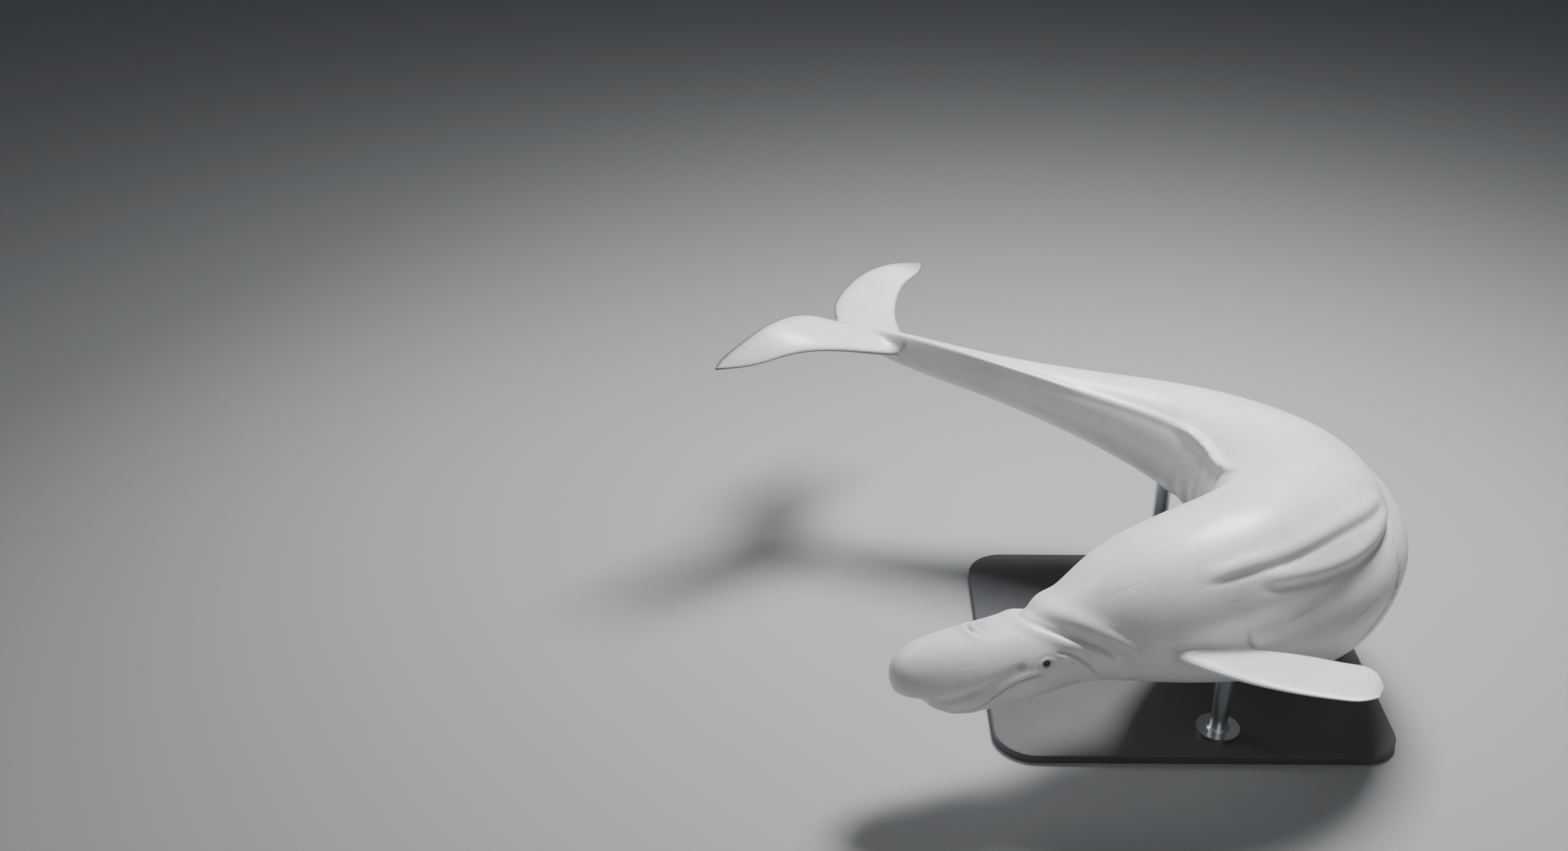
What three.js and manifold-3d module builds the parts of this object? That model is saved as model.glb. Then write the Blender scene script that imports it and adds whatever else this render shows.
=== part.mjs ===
// A white beluga whale, bent to its right as it swims just under the surface,
// held by two short rods on a plain flat base.
// Millimetres, +Z up. The head points towards -X, and the tail lies behind it, towards +Y.
//
// Body places are given as (x, a, b): x is the distance from the front of the melon
// along the curved spine, a is to the animal's left and b is towards its back.
import * as THREE from "three";
import Module from "manifold-3d";

const wasm = await Module();
wasm.setup();

const GAP = 0.4; // between neighbouring nodes
const BODY_END = 3835; // the trunk's last ring, inside the flukes
const STAGE_HEIGHT = 440; // height of the front of the melon above the floor

// The pose. Tailward heading in plan, tailward climb, and roll with the left side up, in degrees.
const HEADING = [
  [0, 6], [500, 17], [900, 12.5], [1250, 26], [1600, 62], [1970, 102],
  [2330, 138], [2700, 161], [3070, 166], [3440, 165], [3900, 155.5],
];
const CLIMB = [[0, 11.5], [500, 15], [900, 12], [1250, 1], [1600, -5], [2300, 6.5], [3100, 11], [3900, 11]];
const ROLL = [
  [0, 22.5], [500, 19], [850, 14], [1150, 15.5], [1430, 31], [1700, 48.5], [2030, 57.5],
  [2390, 52.5], [2800, 50.5], [3250, 40], [3700, 23], [3900, 14.5],
];

// The trunk's outline on the straight body: back, belly, half width and the height of the widest place.
const BACK = [
  [0, 46], [10, 89], [30, 115], [60, 135], [100, 149], [160, 157], [250, 156], [350, 148], [450, 136],
  [560, 132], [650, 154], [790, 215], [975, 262], [1250, 302], [1565, 322], [1885, 312], [2250, 270],
  [2615, 210], [2980, 156], [3345, 114], [3575, 91], [3710, 64], [3835, 26],
];
const BELLY = [
  [0, 46], [10, 8], [30, -8], [60, -22], [90, -40], [115, -64], [150, -90], [190, -106], [240, -119],
  [350, -138], [450, -151], [560, -162], [650, -178], [790, -226], [975, -286], [1250, -354], [1565, -398],
  [1885, -376], [2250, -306], [2615, -226], [2980, -164], [3345, -116], [3575, -92], [3710, -64], [3835, -26],
];
const HALF_WIDTH = [
  [0, 0], [10, 50], [30, 80], [60, 102], [100, 119], [160, 135], [250, 151], [350, 163], [450, 170],
  [560, 174], [650, 196], [790, 252], [975, 296], [1250, 322], [1565, 332], [1885, 310], [2250, 250],
  [2615, 178], [2980, 114], [3345, 70], [3575, 52], [3710, 40], [3835, 24],
];
const WIDEST = [[0, 46], [60, 28], [120, 6], [250, -8], [450, -12], [975, -18], [1615, -22], [2435, -8], [3835, 0]];
const LOWER_SQUARENESS = [[0, 1], [60, 0.8], [150, 0.7], [300, 0.8], [500, 0.95], [885, 1], [3835, 1]];
const RINGS_AROUND = 40;

// The head's features. A band stands out by its height, or lies in where that is below 0.
const EYE = { x: 486, b: -4, radius: 15, sunk: 0.72 };
const LIDS = { height: 5, out: 21, width: 9, flatness: 1.25 };
const SOCKET = { height: -4, width: 12 };
const MOUTH_CORNER_X = 458;
const MOUTH = [[105, -62], [140, -73], [190, -84], [260, -89], [345, -77], [415, -56], [458, -38], [500, -24]];
const MOUTH_LINE = { height: -3, width: 4, from: 110, to: 452, fade: 12 };
const LIPS = { height: 4, out: 11, width: 8, from: 115, to: 442, fade: 40 };
const BEAK = [[70, -26], [140, -34], [220, -34], [320, -20]];
const BEAK_CREASE = { height: -9, width: 13, from: 80, to: 215, fade: 105 };
const BLOWHOLE = { x: 330, a: 14, halfWidth: 40, bow: 9 };
const BLOWHOLE_SLIT = { height: -10, width: 9, reach: 1, behind: 0 };
const BLOWHOLE_RIM = { height: 7, width: 16, reach: 1.2, behind: -24 };
const BLOWHOLE_DIP = { height: -5, width: 26, reach: 1.2, behind: 34 };
const NECK_CREASE = { topX: 535, sideX: 676, height: -13, width: 26, behind: 0 };
const NECK_ROLL = { height: 15, width: 42, behind: 62 };

// The body's features. Their lines are given by the sine of the angle round the section.
const RIDGE = { height: 30, width: 22, from: 1960, to: 2330, fade: 180, notch: 0.2, notchLength: 26 };
const FLANK = { from: 1200, to: 2020, fade: 340, wave: 0.12, waveLength: 240 };
const FLANK_FOLD = { height: 16, sine: -0.52, width: 0.2 };
const FLANK_GROOVE = { height: -12, sine: -0.16, width: 0.13 };
const KEEL = { height: 9, width: 16, from: 3080, to: 3620, fade: 240 };

/** A smooth curve through [x, value] stations, taken over `warp(x)`, with free ends. */
class Curve {
  constructor(stations, warp = (x) => x) {
    this.warp = warp;
    this.x = stations.map(([x]) => warp(x));
    this.y = stations.map(([, y]) => y);
    const last = this.x.length - 1;
    const step = this.x.slice(1).map((x, i) => x - this.x[i]);
    const slope = step.map((h, i) => (this.y[i + 1] - this.y[i]) / h);
    const upper = new Array(last + 1).fill(0);
    this.bend = new Array(last + 1).fill(0);
    for (let i = 1; i < last; i += 1) {
      const pivot = 2 * (step[i - 1] + step[i]) - step[i - 1] * upper[i - 1];
      upper[i] = step[i] / pivot;
      this.bend[i] = (6 * (slope[i] - slope[i - 1]) - step[i - 1] * this.bend[i - 1]) / pivot;
    }
    for (let i = last - 1; i > 0; i -= 1) this.bend[i] -= upper[i] * this.bend[i + 1];
  }

  at(x) {
    const t = Math.min(Math.max(this.warp(x), this.x[0]), this.x[this.x.length - 1]);
    let i = 0;
    while (i < this.x.length - 2 && t > this.x[i + 1]) i += 1;
    const h = this.x[i + 1] - this.x[i];
    const p = (this.x[i + 1] - t) / h;
    const q = 1 - p;
    const cubic = ((p ** 3 - p) * this.bend[i] + (q ** 3 - q) * this.bend[i + 1]) * (h * h) / 6;
    return p * this.y[i] + q * this.y[i + 1] + cubic;
  }
}

const heading = new Curve(HEADING);
const climb = new Curve(CLIMB);
const roll = new Curve(ROLL);
const back = new Curve(BACK, Math.sqrt);
const belly = new Curve(BELLY, Math.sqrt);
const halfWidth = new Curve(HALF_WIDTH, Math.sqrt);
const widest = new Curve(WIDEST, Math.sqrt);
const squareness = new Curve(LOWER_SQUARENESS, Math.sqrt);
const mouth = new Curve(MOUTH);
const beak = new Curve(BEAK);

/** The body's axes at x: tailward, left and dorsal, as unit vectors. */
function axesAt(x) {
  const h = THREE.MathUtils.degToRad(heading.at(x));
  const c = THREE.MathUtils.degToRad(climb.at(x));
  const r = THREE.MathUtils.degToRad(roll.at(x));
  const tailward = new THREE.Vector3(Math.cos(c) * Math.cos(h), Math.cos(c) * Math.sin(h), Math.sin(c));
  const level = new THREE.Vector3(0, 0, 1).cross(tailward).normalize().negate();
  const upright = level.clone().cross(tailward);
  const left = level.clone().multiplyScalar(Math.cos(r)).addScaledVector(upright, Math.sin(r));
  const dorsal = upright.clone().multiplyScalar(Math.cos(r)).addScaledVector(level, -Math.sin(r));
  return { tailward, left, dorsal };
}

const SPINE_STEP = 5;
const spine = [new THREE.Vector3(0, 0, STAGE_HEIGHT)];
for (let x = SPINE_STEP; x <= BODY_END + SPINE_STEP; x += SPINE_STEP) {
  const middle = axesAt(x - SPINE_STEP / 2).tailward;
  spine.push(spine[spine.length - 1].clone().addScaledVector(middle, SPINE_STEP));
}

/** The point of the spine at x, run on straight past either end. */
function spineAt(x) {
  const inside = Math.min(Math.max(x, 0), BODY_END);
  const i = Math.min(Math.floor(inside / SPINE_STEP), spine.length - 2);
  const point = spine[i].clone().lerp(spine[i + 1], inside / SPINE_STEP - i);
  return point.addScaledVector(axesAt(inside).tailward, x - inside);
}

/** A body place (x, a, b) on the bent body. */
function bent(x, a, b) {
  const { left, dorsal } = axesAt(Math.min(Math.max(x, 0), BODY_END));
  return spineAt(x).addScaledVector(left, a).addScaledVector(dorsal, b);
}

/** A function that sets body places rigidly on the body's axes at x0, turned and tilted by some degrees. */
function rigidAt(x0, turn = 0, tilt = 0) {
  const { tailward, left, dorsal } = axesAt(x0);
  for (const axis of [tailward, left]) axis.applyAxisAngle(dorsal, THREE.MathUtils.degToRad(turn));
  for (const axis of [left, dorsal]) axis.applyAxisAngle(tailward, THREE.MathUtils.degToRad(tilt));
  const origin = spineAt(x0);
  return (x, a, b) =>
    origin.clone().addScaledVector(tailward, x - x0).addScaledVector(left, a).addScaledVector(dorsal, b);
}

const bell = (distance, width) => Math.exp(-((distance / width) ** 2));
const smooth = (low, high, x) => THREE.MathUtils.smoothstep(x, low, high);
/** 1 between low and high, falling smoothly to 0 over `fade` outside them. */
const span = (low, high, fade, x) => smooth(low - fade, low, x) * (1 - smooth(high, high + fade, x));

/** A band along the body: its height at a distance from its line, between its two ends. */
const band = ({ height, width, from, to, fade }, distance, x) =>
  height * bell(distance, width) * span(from, to, fade, x);

/** How far the head's features stand out of the plain trunk at a body place. */
function headRelief(x, a, b, sine) {
  const lip = b - mouth.at(x);
  const fromEye = Math.hypot(x - EYE.x, (b - EYE.b) * LIDS.flatness);
  const across = (a - BLOWHOLE.a) / BLOWHOLE.halfWidth;
  const pastSlit = x - (BLOWHOLE.x + BLOWHOLE.bow * across * across);
  const creaseX = NECK_CREASE.topX + (NECK_CREASE.sideX - NECK_CREASE.topX) * smooth(1, -0.5, sine);
  const sides = smooth(-0.8, -0.2, sine);
  let out = band(BEAK_CREASE, b - beak.at(x), x) + band(MOUTH_LINE, lip, x);
  out += band(LIPS, Math.abs(lip) - LIPS.out, x);
  out += LIDS.height * bell(fromEye - LIDS.out, LIDS.width) + SOCKET.height * bell(fromEye, SOCKET.width);
  for (const { height, width, reach, behind } of [BLOWHOLE_SLIT, BLOWHOLE_RIM, BLOWHOLE_DIP]) {
    if (sine > 0) out += height * bell(pastSlit - behind, width) * bell(across, reach);
  }
  for (const { height, width, behind } of [NECK_CREASE, NECK_ROLL]) {
    out += height * bell(x - creaseX - behind, width) * sides;
  }
  return out;
}

/** How far the ridge on the back, the flanks' folds and the tail's keels stand out of the plain trunk. */
function bodyRelief(x, a, sine) {
  const notches = 1 - RIDGE.notch + RIDGE.notch * Math.cos((x - RIDGE.from) / RIDGE.notchLength);
  let out = band(KEEL, a, x);
  if (sine > 0) out += notches * band(RIDGE, a, x);
  const wave = FLANK.wave * Math.sin(x / FLANK.waveLength);
  for (const fold of [FLANK_FOLD, FLANK_GROOVE]) {
    out += band({ ...FLANK, ...fold }, sine - fold.sine + wave, x);
  }
  return out;
}

/** The skin's body place on ring x at `angle`, 0 at the left side and a quarter turn at the back. */
function skin(x, angle) {
  const cosine = Math.cos(angle);
  const sine = Math.sin(angle);
  const middle = widest.at(x);
  const power = sine < 0 ? squareness.at(x) : 1;
  const height = sine < 0 ? middle - belly.at(x) : back.at(x) - middle;
  const a = halfWidth.at(x) * Math.sign(cosine) * Math.abs(cosine) ** power;
  const b = middle + height * Math.sign(sine) * Math.abs(sine) ** power;
  const far = Math.hypot(a, b - middle);
  const grow = far < 1 ? 1 : 1 + (headRelief(x, a, b, sine) + bodyRelief(x, a, sine)) / far;
  return [x, a * grow, middle + (b - middle) * grow];
}

/** A closed solid from rows of points that go round it, closed by a point or a fan at each end. */
function loft(rows) {
  const around = rows[0].length;
  const places = rows.flat();
  const faces = [];
  for (let i = 0; i + 1 < rows.length; i += 1) {
    for (let j = 0; j < around; j += 1) {
      const k = (j + 1) % around;
      const [p, q, r, s] = [i * around + j, i * around + k, (i + 1) * around + k, (i + 1) * around + j];
      faces.push([p, q, r], [p, r, s]);
    }
  }
  for (const [row, start, turn] of [[rows[0], 0, 1], [rows[rows.length - 1], (rows.length - 1) * around, 0]]) {
    const centre = new THREE.Vector3();
    for (const point of row) centre.addScaledVector(point, 1 / around);
    places.push(centre);
    for (let j = 0; j < around; j += 1) {
      const [p, q] = [start + j, start + ((j + 1) % around)];
      faces.push(turn ? [p, places.length - 1, q] : [p, q, places.length - 1]);
    }
  }
  return solid(places, faces);
}

/** A solid from points and triangles, turned the right way out. */
function solid(places, faces) {
  const volume = faces.reduce((sum, [p, q, r]) => {
    const normal = places[q].clone().cross(places[r]);
    return sum + places[p].dot(normal);
  }, 0);
  const outward = volume > 0 ? faces : faces.map(([p, q, r]) => [p, r, q]);
  return new wasm.Manifold(new wasm.Mesh({
    numProp: 3,
    vertProperties: new Float32Array(places.flatMap((point) => point.toArray())),
    triVerts: new Uint32Array(outward.flat()),
  }));
}

/** A three.js geometry as a solid. */
function fromGeometry(geometry, matrix) {
  const flat = geometry.index ? geometry.toNonIndexed() : geometry;
  const keys = new Map();
  const places = [];
  const corners = [];
  const attribute = flat.getAttribute("position");
  for (let i = 0; i < attribute.count; i += 1) {
    const point = new THREE.Vector3().fromBufferAttribute(attribute, i).applyMatrix4(matrix);
    const key = point.toArray().map((value) => Math.round(value * 1000)).join();
    if (!keys.has(key)) {
      keys.set(key, places.length);
      places.push(point);
    }
    corners.push(keys.get(key));
  }
  const faces = [];
  for (let i = 0; i < corners.length; i += 3) {
    const face = corners.slice(i, i + 3);
    if (new Set(face).size === 3) faces.push(face);
  }
  return solid(places, faces);
}

/** The stations of the trunk's rings: close at the head, wider along the body. */
function ringStations() {
  const stations = [];
  let x = 1.5;
  while (x < BODY_END) {
    stations.push(x);
    if (x < 60) x += 4 + x * 0.16;
    else if (x < 470) x += 20;
    else if (x < 760) x += 25;
    else if (x < 3400) x += 56;
    else x += 45;
  }
  stations.push(BODY_END);
  return stations;
}

/** The trunk from the melon to the stock's end. */
function trunk() {
  const rows = ringStations().map((x) =>
    Array.from({ length: RINGS_AROUND }, (_, j) => bent(...skin(x, (j / RINGS_AROUND) * 2 * Math.PI))));
  return loft(rows);
}

/** A tapered blade: for each row its leading and trailing edge, thickness and place across it. */
function blade(rowCount, chordCount, shape) {
  const rows = [];
  for (let i = 0; i < rowCount; i += 1) {
    const row = [];
    for (let j = 0; j < 2 * chordCount; j += 1) {
      const upper = j < chordCount;
      const step = upper ? j / chordCount : 2 - j / chordCount;
      const chord = 0.5 - 0.5 * Math.cos(Math.PI * step);
      row.push(shape(i / (rowCount - 1), chord, upper ? 1 : -1));
    }
    rows.push(row);
  }
  return loft(rows);
}

const clamp = (value) => Math.min(Math.max(value, 0), 1);

const FOIL = { fullness: 1.9, taper: 0.9, edge: 0.05 };
/** How thick a blade is at a part of its chord: blunt in front and thin behind. */
const foil = (chord) => FOIL.fullness * Math.sqrt(clamp(chord)) * clamp(1 - chord) ** FOIL.taper + FOIL.edge;

const FLUKE = {
  at: 3715, root: 3575, turn: -4.4, tilt: 17.5, halfSpan: 600, thickness: 30, tipThickness: 4, rows: 16, chord: 8,
};
const FLUKE_LEAD = [[0, 0], [0.12, 62], [0.3, 156], [0.5, 228], [0.75, 280], [0.92, 310], [1, 350]];
const FLUKE_TRAIL = [
  [0, 335], [0.06, 362], [0.18, 404], [0.4, 436], [0.65, 436], [0.85, 414], [0.95, 388], [1, 362],
];
const FLUKE_LIFT = { left: [[0, 0], [0.3, -8], [0.65, 30], [1, 44]], right: [[0, 0], [0.3, 66], [0.65, 92], [1, 0]] };
const FLUKE_SWEEP = { left: -135, right: 235 }; // how far each tip is bent tailward
const FLUKE_TWIST = { left: 0, right: 0.26 }; // how steeply the chord rises tailward
const SWEEP_POWER = 2.5;

/** One lobe of the flukes, with its root inside the stock. */
function flukeLobe(side) {
  const name = side > 0 ? "left" : "right";
  const place = rigidAt(FLUKE.at, FLUKE.turn, FLUKE.tilt);
  const lead = new Curve(FLUKE_LEAD);
  const trail = new Curve(FLUKE_TRAIL);
  const lift = new Curve(FLUKE_LIFT[name]);
  return blade(FLUKE.rows, FLUKE.chord, (row, chord, face) => {
    const out = clamp(Math.sin((row * Math.PI) / 2)) ** 0.9;
    const thick = FLUKE.tipThickness + (FLUKE.thickness - FLUKE.tipThickness) * clamp(1 - out) ** 0.75;
    const swept = FLUKE_SWEEP[name] * out ** SWEEP_POWER;
    const x = FLUKE.root + swept + lead.at(out) + (trail.at(out) - lead.at(out)) * chord;
    const twisted = FLUKE_TWIST[name] * Math.sin(Math.PI * out) * (trail.at(out) - lead.at(out)) * (chord - 0.5);
    const b = lift.at(out) + twisted + face * thick * foil(chord);
    return place(x, side * (out * FLUKE.halfSpan - 3), b);
  });
}

const FLIPPER = { at: 1055, length: 640, thickness: 21, tipThickness: 5, rows: 12, chord: 7 };
const FLIPPER_LEAD = [[0, -74], [0.3, -108], [0.6, -120], [0.85, -108], [0.95, -88], [1, -60]];
const FLIPPER_TRAIL = [[0, 62], [0.3, 84], [0.6, 112], [0.82, 112], [0.95, 74], [1, 10]];
const FLIPPER_POSE = {
  left: { exit: [985, -0.24], out: [0.705, 0.67, -0.15], forward: [-0.58, 0.74, -0.035], curl: 16, cutOut: 18 },
  right: { exit: [1040, -0.6], out: [0.66, 0.58, -0.48], forward: [-0.6, 0.75, 0.1], curl: 26, cutOut: 30 },
};
const FLIPPER_SUNK = 90; // how deep the root lies in the chest

/** Where a flipper leaves the skin, and the skin's outward direction there. */
function flipperExit(name, side) {
  const [x, angle] = FLIPPER_POSE[name].exit;
  const at = (dx, turn) => {
    const [px, a, b] = skin(x + dx, angle + turn);
    return bent(px, side * a, b);
  };
  const point = at(0, 0);
  const outward = at(0, 0.05).sub(point).cross(at(20, 0).sub(point)).multiplyScalar(-side).normalize();
  return { point, outward };
}

/** One flipper, a broad paddle with its root inside the chest. */
function flipper(side) {
  const name = side > 0 ? "left" : "right";
  const pose = FLIPPER_POSE[name];
  const { tailward, left, dorsal } = axesAt(FLIPPER.at);
  const world = ([x, a, b]) => new THREE.Vector3().addScaledVector(tailward, x)
    .addScaledVector(left, side * a).addScaledVector(dorsal, b);
  const out = world(pose.out).normalize();
  const forward = world(pose.forward);
  forward.addScaledVector(out, -forward.dot(out)).normalize();
  const upward = out.clone().cross(forward);
  if (upward.z < 0) upward.negate();
  const root = flipperExit(name, side).point.addScaledVector(out, -FLIPPER_SUNK);
  const lead = new Curve(FLIPPER_LEAD);
  const trail = new Curve(FLIPPER_TRAIL);
  return blade(FLIPPER.rows, FLIPPER.chord, (row, chord, face) => {
    const along = Math.sin((row * Math.PI) / 2);
    const thick = FLIPPER.tipThickness + (FLIPPER.thickness - FLIPPER.tipThickness) * clamp(1 - along) ** 0.6;
    const across = lead.at(along) + (trail.at(along) - lead.at(along)) * chord;
    const lift = pose.curl * along ** 3 + face * thick * foil(chord);
    return root.clone().addScaledVector(out, along * FLIPPER.length)
      .addScaledVector(forward, -across).addScaledVector(upward, lift);
  });
}

/** A box given by its size, set by a point and axes, as a solid. */
function slab(size, origin, axisX, axisY, axisZ) {
  const matrix = new THREE.Matrix4().makeBasis(axisX, axisY, axisZ).setPosition(origin);
  return fromGeometry(new THREE.BoxGeometry(...size), matrix);
}

/** A thin slab across the body at x. */
function crossCut(x, reach) {
  const { tailward, left, dorsal } = axesAt(x);
  return slab([GAP, reach * 2, reach * 2], spineAt(x), tailward, left, dorsal);
}

/** A thin ribbon across the head that follows body places [x, b], to part the jaw. */
function ribbonCut(path, reach, place) {
  const rows = path.map(([x, b], i) => {
    const [before, after] = [path[Math.max(i - 1, 0)], path[Math.min(i + 1, path.length - 1)]];
    const along = new THREE.Vector2(after[0] - before[0], after[1] - before[1]).normalize();
    const across = new THREE.Vector2(-along.y, along.x).multiplyScalar(GAP / 2);
    return [[-reach, 1], [reach, 1], [reach, -1], [-reach, -1]].map(([a, face]) =>
      place(x + face * across.x, a, b + face * across.y));
  });
  return loft(rows);
}

/** The largest closed piece of a solid. */
function largest(shape) {
  const pieces = shape.decompose();
  return pieces.reduce((best, piece) => (piece.volume() > best.volume() ? piece : best));
}

/** Splits a solid by a thin cut, and returns its pieces with the largest first. */
function split(shape, cut) {
  return shape.subtract(cut).decompose().sort((p, q) => q.volume() - p.volume());
}

/** The piece of a list whose box centre lies nearest to a point. */
function nearest(pieces, point) {
  const distance = (piece) => {
    const box = piece.boundingBox();
    const centre = new THREE.Vector3(...box.min).add(new THREE.Vector3(...box.max)).multiplyScalar(0.5);
    return centre.distanceTo(point);
  };
  return pieces.reduce((best, piece) => (distance(piece) < distance(best) ? piece : best));
}

const SKIN_LOOK = { color: 0xe9e9e6, roughness: 0.42, metalness: 0 };
const EYE_LOOK = { color: 0x17130f, roughness: 0.12, metalness: 0 };
const BASE_LOOK = { color: 0x4a4d50, roughness: 0.55, metalness: 0.2 };
const ROD_LOOK = { color: 0xb9bcc0, roughness: 0.3, metalness: 1 };
const model = new THREE.Group();
const whaleNodes = [];

/** Adds a solid to the model as a named mesh. */
function addNode(name, shape, look, isWhale) {
  const mesh = shape.getMesh();
  const geometry = new THREE.BufferGeometry();
  geometry.setAttribute("position", new THREE.Float32BufferAttribute(mesh.vertProperties, 3));
  geometry.setIndex(new THREE.Uint32BufferAttribute(mesh.triVerts, 1));
  geometry.computeVertexNormals();
  const node = new THREE.Mesh(geometry, new THREE.MeshStandardMaterial(look));
  node.name = name;
  model.add(node);
  if (isWhale) whaleNodes.push(shape);
}

// The whole animal, then thin cuts that part it.
const whole = largest([flukeLobe(1), flukeLobe(-1), flipper(1), flipper(-1)]
  .reduce((body, limb) => body.add(limb), trunk()));

/** The centre of an eyeball, set into the head's side. */
function eyeCentre(side) {
  const angle = Math.asin((EYE.b - widest.at(EYE.x)) / (back.at(EYE.x) - widest.at(EYE.x)));
  const a = halfWidth.at(EYE.x) * Math.cos(angle);
  return bent(EYE.x, side * (a - EYE.radius * EYE.sunk), EYE.b);
}

function ball(centre, radius) {
  return fromGeometry(new THREE.SphereGeometry(radius, 20, 12), new THREE.Matrix4().setPosition(centre));
}

const eyes = { left: ball(eyeCentre(1), EYE.radius), right: ball(eyeCentre(-1), EYE.radius) };
let rest = whole;
for (const side of [1, -1]) rest = rest.subtract(ball(eyeCentre(side), EYE.radius + GAP));

// Limbs: each is cut off at a plane close to its root.
const FLUKE_CUT = { front: [3560, 138], rear: [4010, 40], height: 360 };
const lobes = {};
for (const [name, side] of [["left", 1], ["right", -1]]) {
  const place = rigidAt(FLUKE.at, FLUKE.turn, FLUKE.tilt);
  const [front, rear] = [FLUKE_CUT.front, FLUKE_CUT.rear].map(([x, a]) => place(x, side * a, 0));
  const along = rear.clone().sub(front);
  const dorsal = place(FLUKE.at, 0, 1).sub(place(FLUKE.at, 0, 0));
  const axisX = along.clone().normalize();
  const cut = slab([along.length(), GAP, FLUKE_CUT.height], front.lerp(rear, 0.5),
    axisX, dorsal.clone().cross(axisX), dorsal);
  const pieces = split(rest, cut);
  rest = pieces[0];
  lobes[name] = nearest(pieces.slice(1), place(3800, side * 300, 0));
}
const flippers = {};
const FLIPPER_CUT = [640, 640];
for (const [name, side] of [["left", 1], ["right", -1]]) {
  const { point, outward } = flipperExit(name, side);
  const axisY = new THREE.Vector3(0, 0, 1).cross(outward).normalize();
  const origin = point.clone().addScaledVector(outward, FLIPPER_POSE[name].cutOut);
  const cut = slab([GAP, ...FLIPPER_CUT], origin, outward, axisY, outward.clone().cross(axisY));
  const pieces = split(rest, cut);
  rest = pieces[0];
  flippers[name] = largest(nearest(pieces.slice(1), origin));
}

// The lower jaw: cut along the mouth to its corner, and then down behind the jaw.
const JAW_AT = 300; // the cut keeps to the axes here
const jawPath = [];
for (let x = -40; x < MOUTH_CORNER_X; x += 28) jawPath.push([x, mouth.at(x)]);
jawPath.push([MOUTH_CORNER_X, mouth.at(MOUTH_CORNER_X)], [500, -100], [524, -250]);
const headPieces = split(rest, ribbonCut(jawPath, 260, rigidAt(JAW_AT)));
rest = headPieces[0];
const jaw = nearest(headPieces.slice(1), bent(250, 0, -120));

// The trunk, from the head back.
const TRUNK_CUTS = [
  ["head", 690, 330], ["neck", 870, 380], ["chest", 1360, 520],
  ["belly", 1940, 520], ["hips", 2600, 420], ["tail_stock", Infinity, 0],
];
const lengths = {};
for (const [name, x, reach] of TRUNK_CUTS) {
  if (x === Infinity) {
    lengths[name] = rest;
    break;
  }
  const pieces = split(rest, crossCut(x, reach)).slice(0, 2);
  const front = nearest(pieces, spineAt(x - 150));
  lengths[name] = front;
  rest = pieces.find((piece) => piece !== front);
}

for (const [name] of TRUNK_CUTS) addNode(name, largest(lengths[name]), SKIN_LOOK, true);
addNode("lower_jaw", largest(jaw), SKIN_LOOK, true);
for (const name of ["left", "right"]) {
  addNode(`flipper_${name}`, largest(flippers[name]), SKIN_LOOK, true);
  addNode(`fluke_${name}`, largest(lobes[name]), SKIN_LOOK, true);
  addNode(`eye_${name}`, eyes[name], EYE_LOOK, true);
}

// The stand: a flat base and two rods that end just under the skin they carry.
const BASE = { width: 1440, depth: 1290, thickness: 34, corner: 140, bevel: 5, headward: 60 };
const ROD = { radius: 32, foot: 78, footHeight: 16, fillet: 10 };
const ROD_STATIONS = { stand_rod_front: 1270, stand_rod_rear: 2520 };

/** A rounded rectangle as an outline. */
function roundedRectangle(width, depth, corner) {
  const [w, d] = [width / 2, depth / 2];
  const outline = new THREE.Shape();
  outline.moveTo(-w + corner, -d);
  outline.lineTo(w - corner, -d);
  outline.absarc(w - corner, -d + corner, corner, -Math.PI / 2, 0, false);
  outline.lineTo(w, d - corner);
  outline.absarc(w - corner, d - corner, corner, 0, Math.PI / 2, false);
  outline.lineTo(-w + corner, d);
  outline.absarc(-w + corner, d - corner, corner, Math.PI / 2, Math.PI, false);
  outline.lineTo(-w, -d + corner);
  outline.absarc(-w + corner, -d + corner, corner, Math.PI, 1.5 * Math.PI, false);
  return outline;
}

const feet = Object.entries(ROD_STATIONS).map(([name, x]) => ({ name, point: spineAt(x) }));
const baseCentre = feet[0].point.clone().add(feet[1].point).multiplyScalar(0.5).setZ(0);
baseCentre.x -= BASE.headward;
const baseGeometry = new THREE.ExtrudeGeometry(
  roundedRectangle(BASE.width - 2 * BASE.bevel, BASE.depth - 2 * BASE.bevel, BASE.corner),
  { depth: BASE.thickness - 2 * BASE.bevel, bevelSize: BASE.bevel, bevelThickness: BASE.bevel,
    bevelSegments: 2, curveSegments: 10 });
const baseMatrix = new THREE.Matrix4().setPosition(baseCentre.clone().setZ(BASE.bevel));
addNode("stand_base", fromGeometry(baseGeometry, baseMatrix), BASE_LOOK, false);

const lowered = whaleNodes.map((shape) => shape.translate([0, 0, -GAP]));
for (const { name, point } of feet) {
  const bottom = BASE.thickness + GAP;
  const profile = [
    [0, bottom], [ROD.foot, bottom], [ROD.foot, bottom + ROD.footHeight],
    [ROD.radius + ROD.fillet, bottom + ROD.footHeight], [ROD.radius, bottom + ROD.footHeight + ROD.fillet],
    [ROD.radius, point.z], [0, point.z],
  ].map(([radius, height]) => new THREE.Vector2(radius, height));
  const upright = new THREE.Matrix4().makeRotationX(Math.PI / 2).setPosition(point.x, point.y, 0);
  const rod = fromGeometry(new THREE.LatheGeometry(profile, 40), upright);
  addNode(name, largest(lowered.reduce((left, shape) => left.subtract(shape), rod)), ROD_LOOK, false);
}

// The model's box is centred over the origin, with the base on the floor.
const box = new THREE.Box3().setFromObject(model);
const shift = box.getCenter(new THREE.Vector3()).setZ(box.min.z).negate();
for (const node of model.children) node.geometry.translate(shift.x, shift.y, shift.z);

export default model;
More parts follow.
